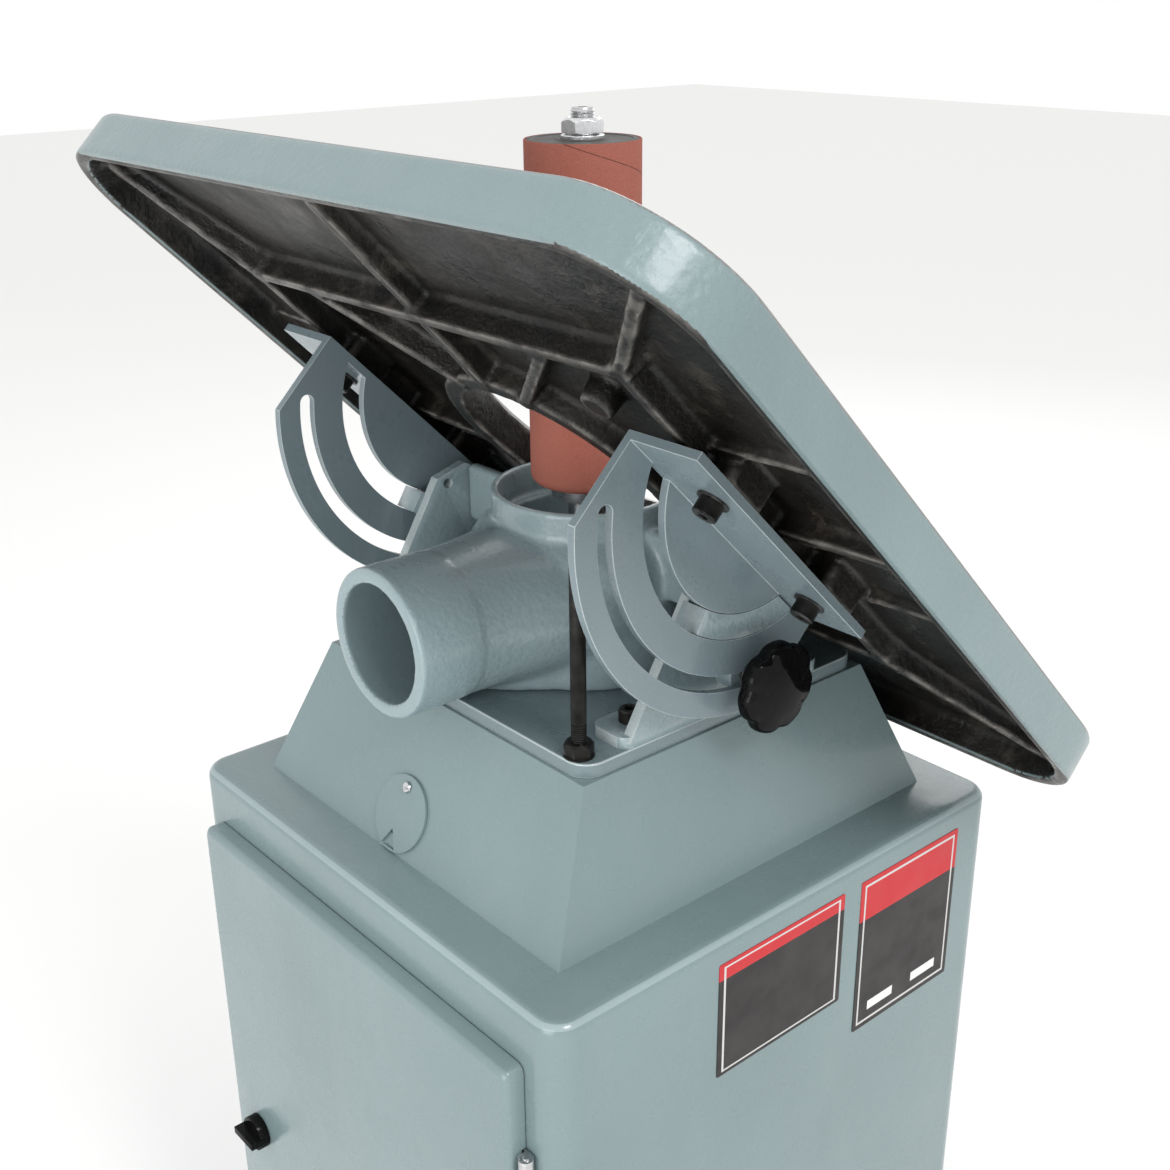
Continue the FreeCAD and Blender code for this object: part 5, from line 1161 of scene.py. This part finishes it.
def make_switch():
    """Moulded switch case with a well for each of its two push buttons, and the buttons."""
    low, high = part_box("switch_box")
    rings = []
    for inset, share in ((0, 0), (1.5 * MM, 0.55), (2.2 * MM, 0.86), (4 * MM, 0.97), (7 * MM, 1.0)):
        y = high.y + (low.y - high.y) * share
        flat = rounded_box(low.x + inset, low.z + inset, high.x - inset, high.z - inset, 7 * MM, 8)
        rings.append([(x, y, z) for x, z in flat])
    forward = Matrix.Rotation(radians(90), 4, "X")
    well_radius, cap_radius = 11.3 * MM, 11 * MM
    wells = []
    for button in ("start_button", "stop_button"):
        b_low, b_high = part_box(button)
        x, z, depth = (b_low.x + b_high.x) / 2, (b_low.z + b_high.z) / 2, b_high.y - b_low.y
        well = lathe([(0, -8 * MM), (well_radius, -8 * MM), (well_radius, 4 * MM), (13 * MM, 14 * MM),
                (0, 14 * MM)], 64)
        wells.append(moved(well, Matrix.Translation((x, low.y + 6 * MM, z)) @ forward))
        cap = lathe([(0, 0), (cap_radius, 0), (cap_radius, depth - 2 * MM), (10.4 * MM, depth - 0.7 * MM),
                (9 * MM, depth), (7 * MM, depth - 0.1 * MM), (3 * MM, depth - 0.5 * MM),
                (0, depth - 0.6 * MM)], 64)
        piece(button + "_cap", moved(cap, Matrix.Translation((x, b_high.y, z)) @ forward), button)
    piece("switch_case", combine(loft(rings), wells), "switch_box", ["switch_plastic"], 0.5 * MM)


# ---- pieces kept as drawn, with softened edges

def soften(node, width):
    """A node's own shape with every sharp edge broken, as a machined or moulded piece has it."""
    piece(node + "_finished", own_shape(node, 1e-6, 0.5), node, None, width)


# ---- the whole scene

make_materials()
make_camera()
make_studio()
dress_nodes()
make_table()
make_quadrants()
make_brackets()
make_chute()
make_sleeve()
make_core()
make_top_disc()
make_spindle_nut()
make_spindle_shaft()
make_foot_screws()
make_table_screws()
make_stop()
make_knobs()
make_hood()
make_cover()
make_base_plate()
make_cabinet()
make_door()
make_labels()
make_switch()
soften("door_latch", 0.8 * MM)
soften("cord_gland", 0.6 * MM)
soften("cabinet_hinges", 0.3 * MM)
soften("door_hinge_leaves", 0.3 * MM)
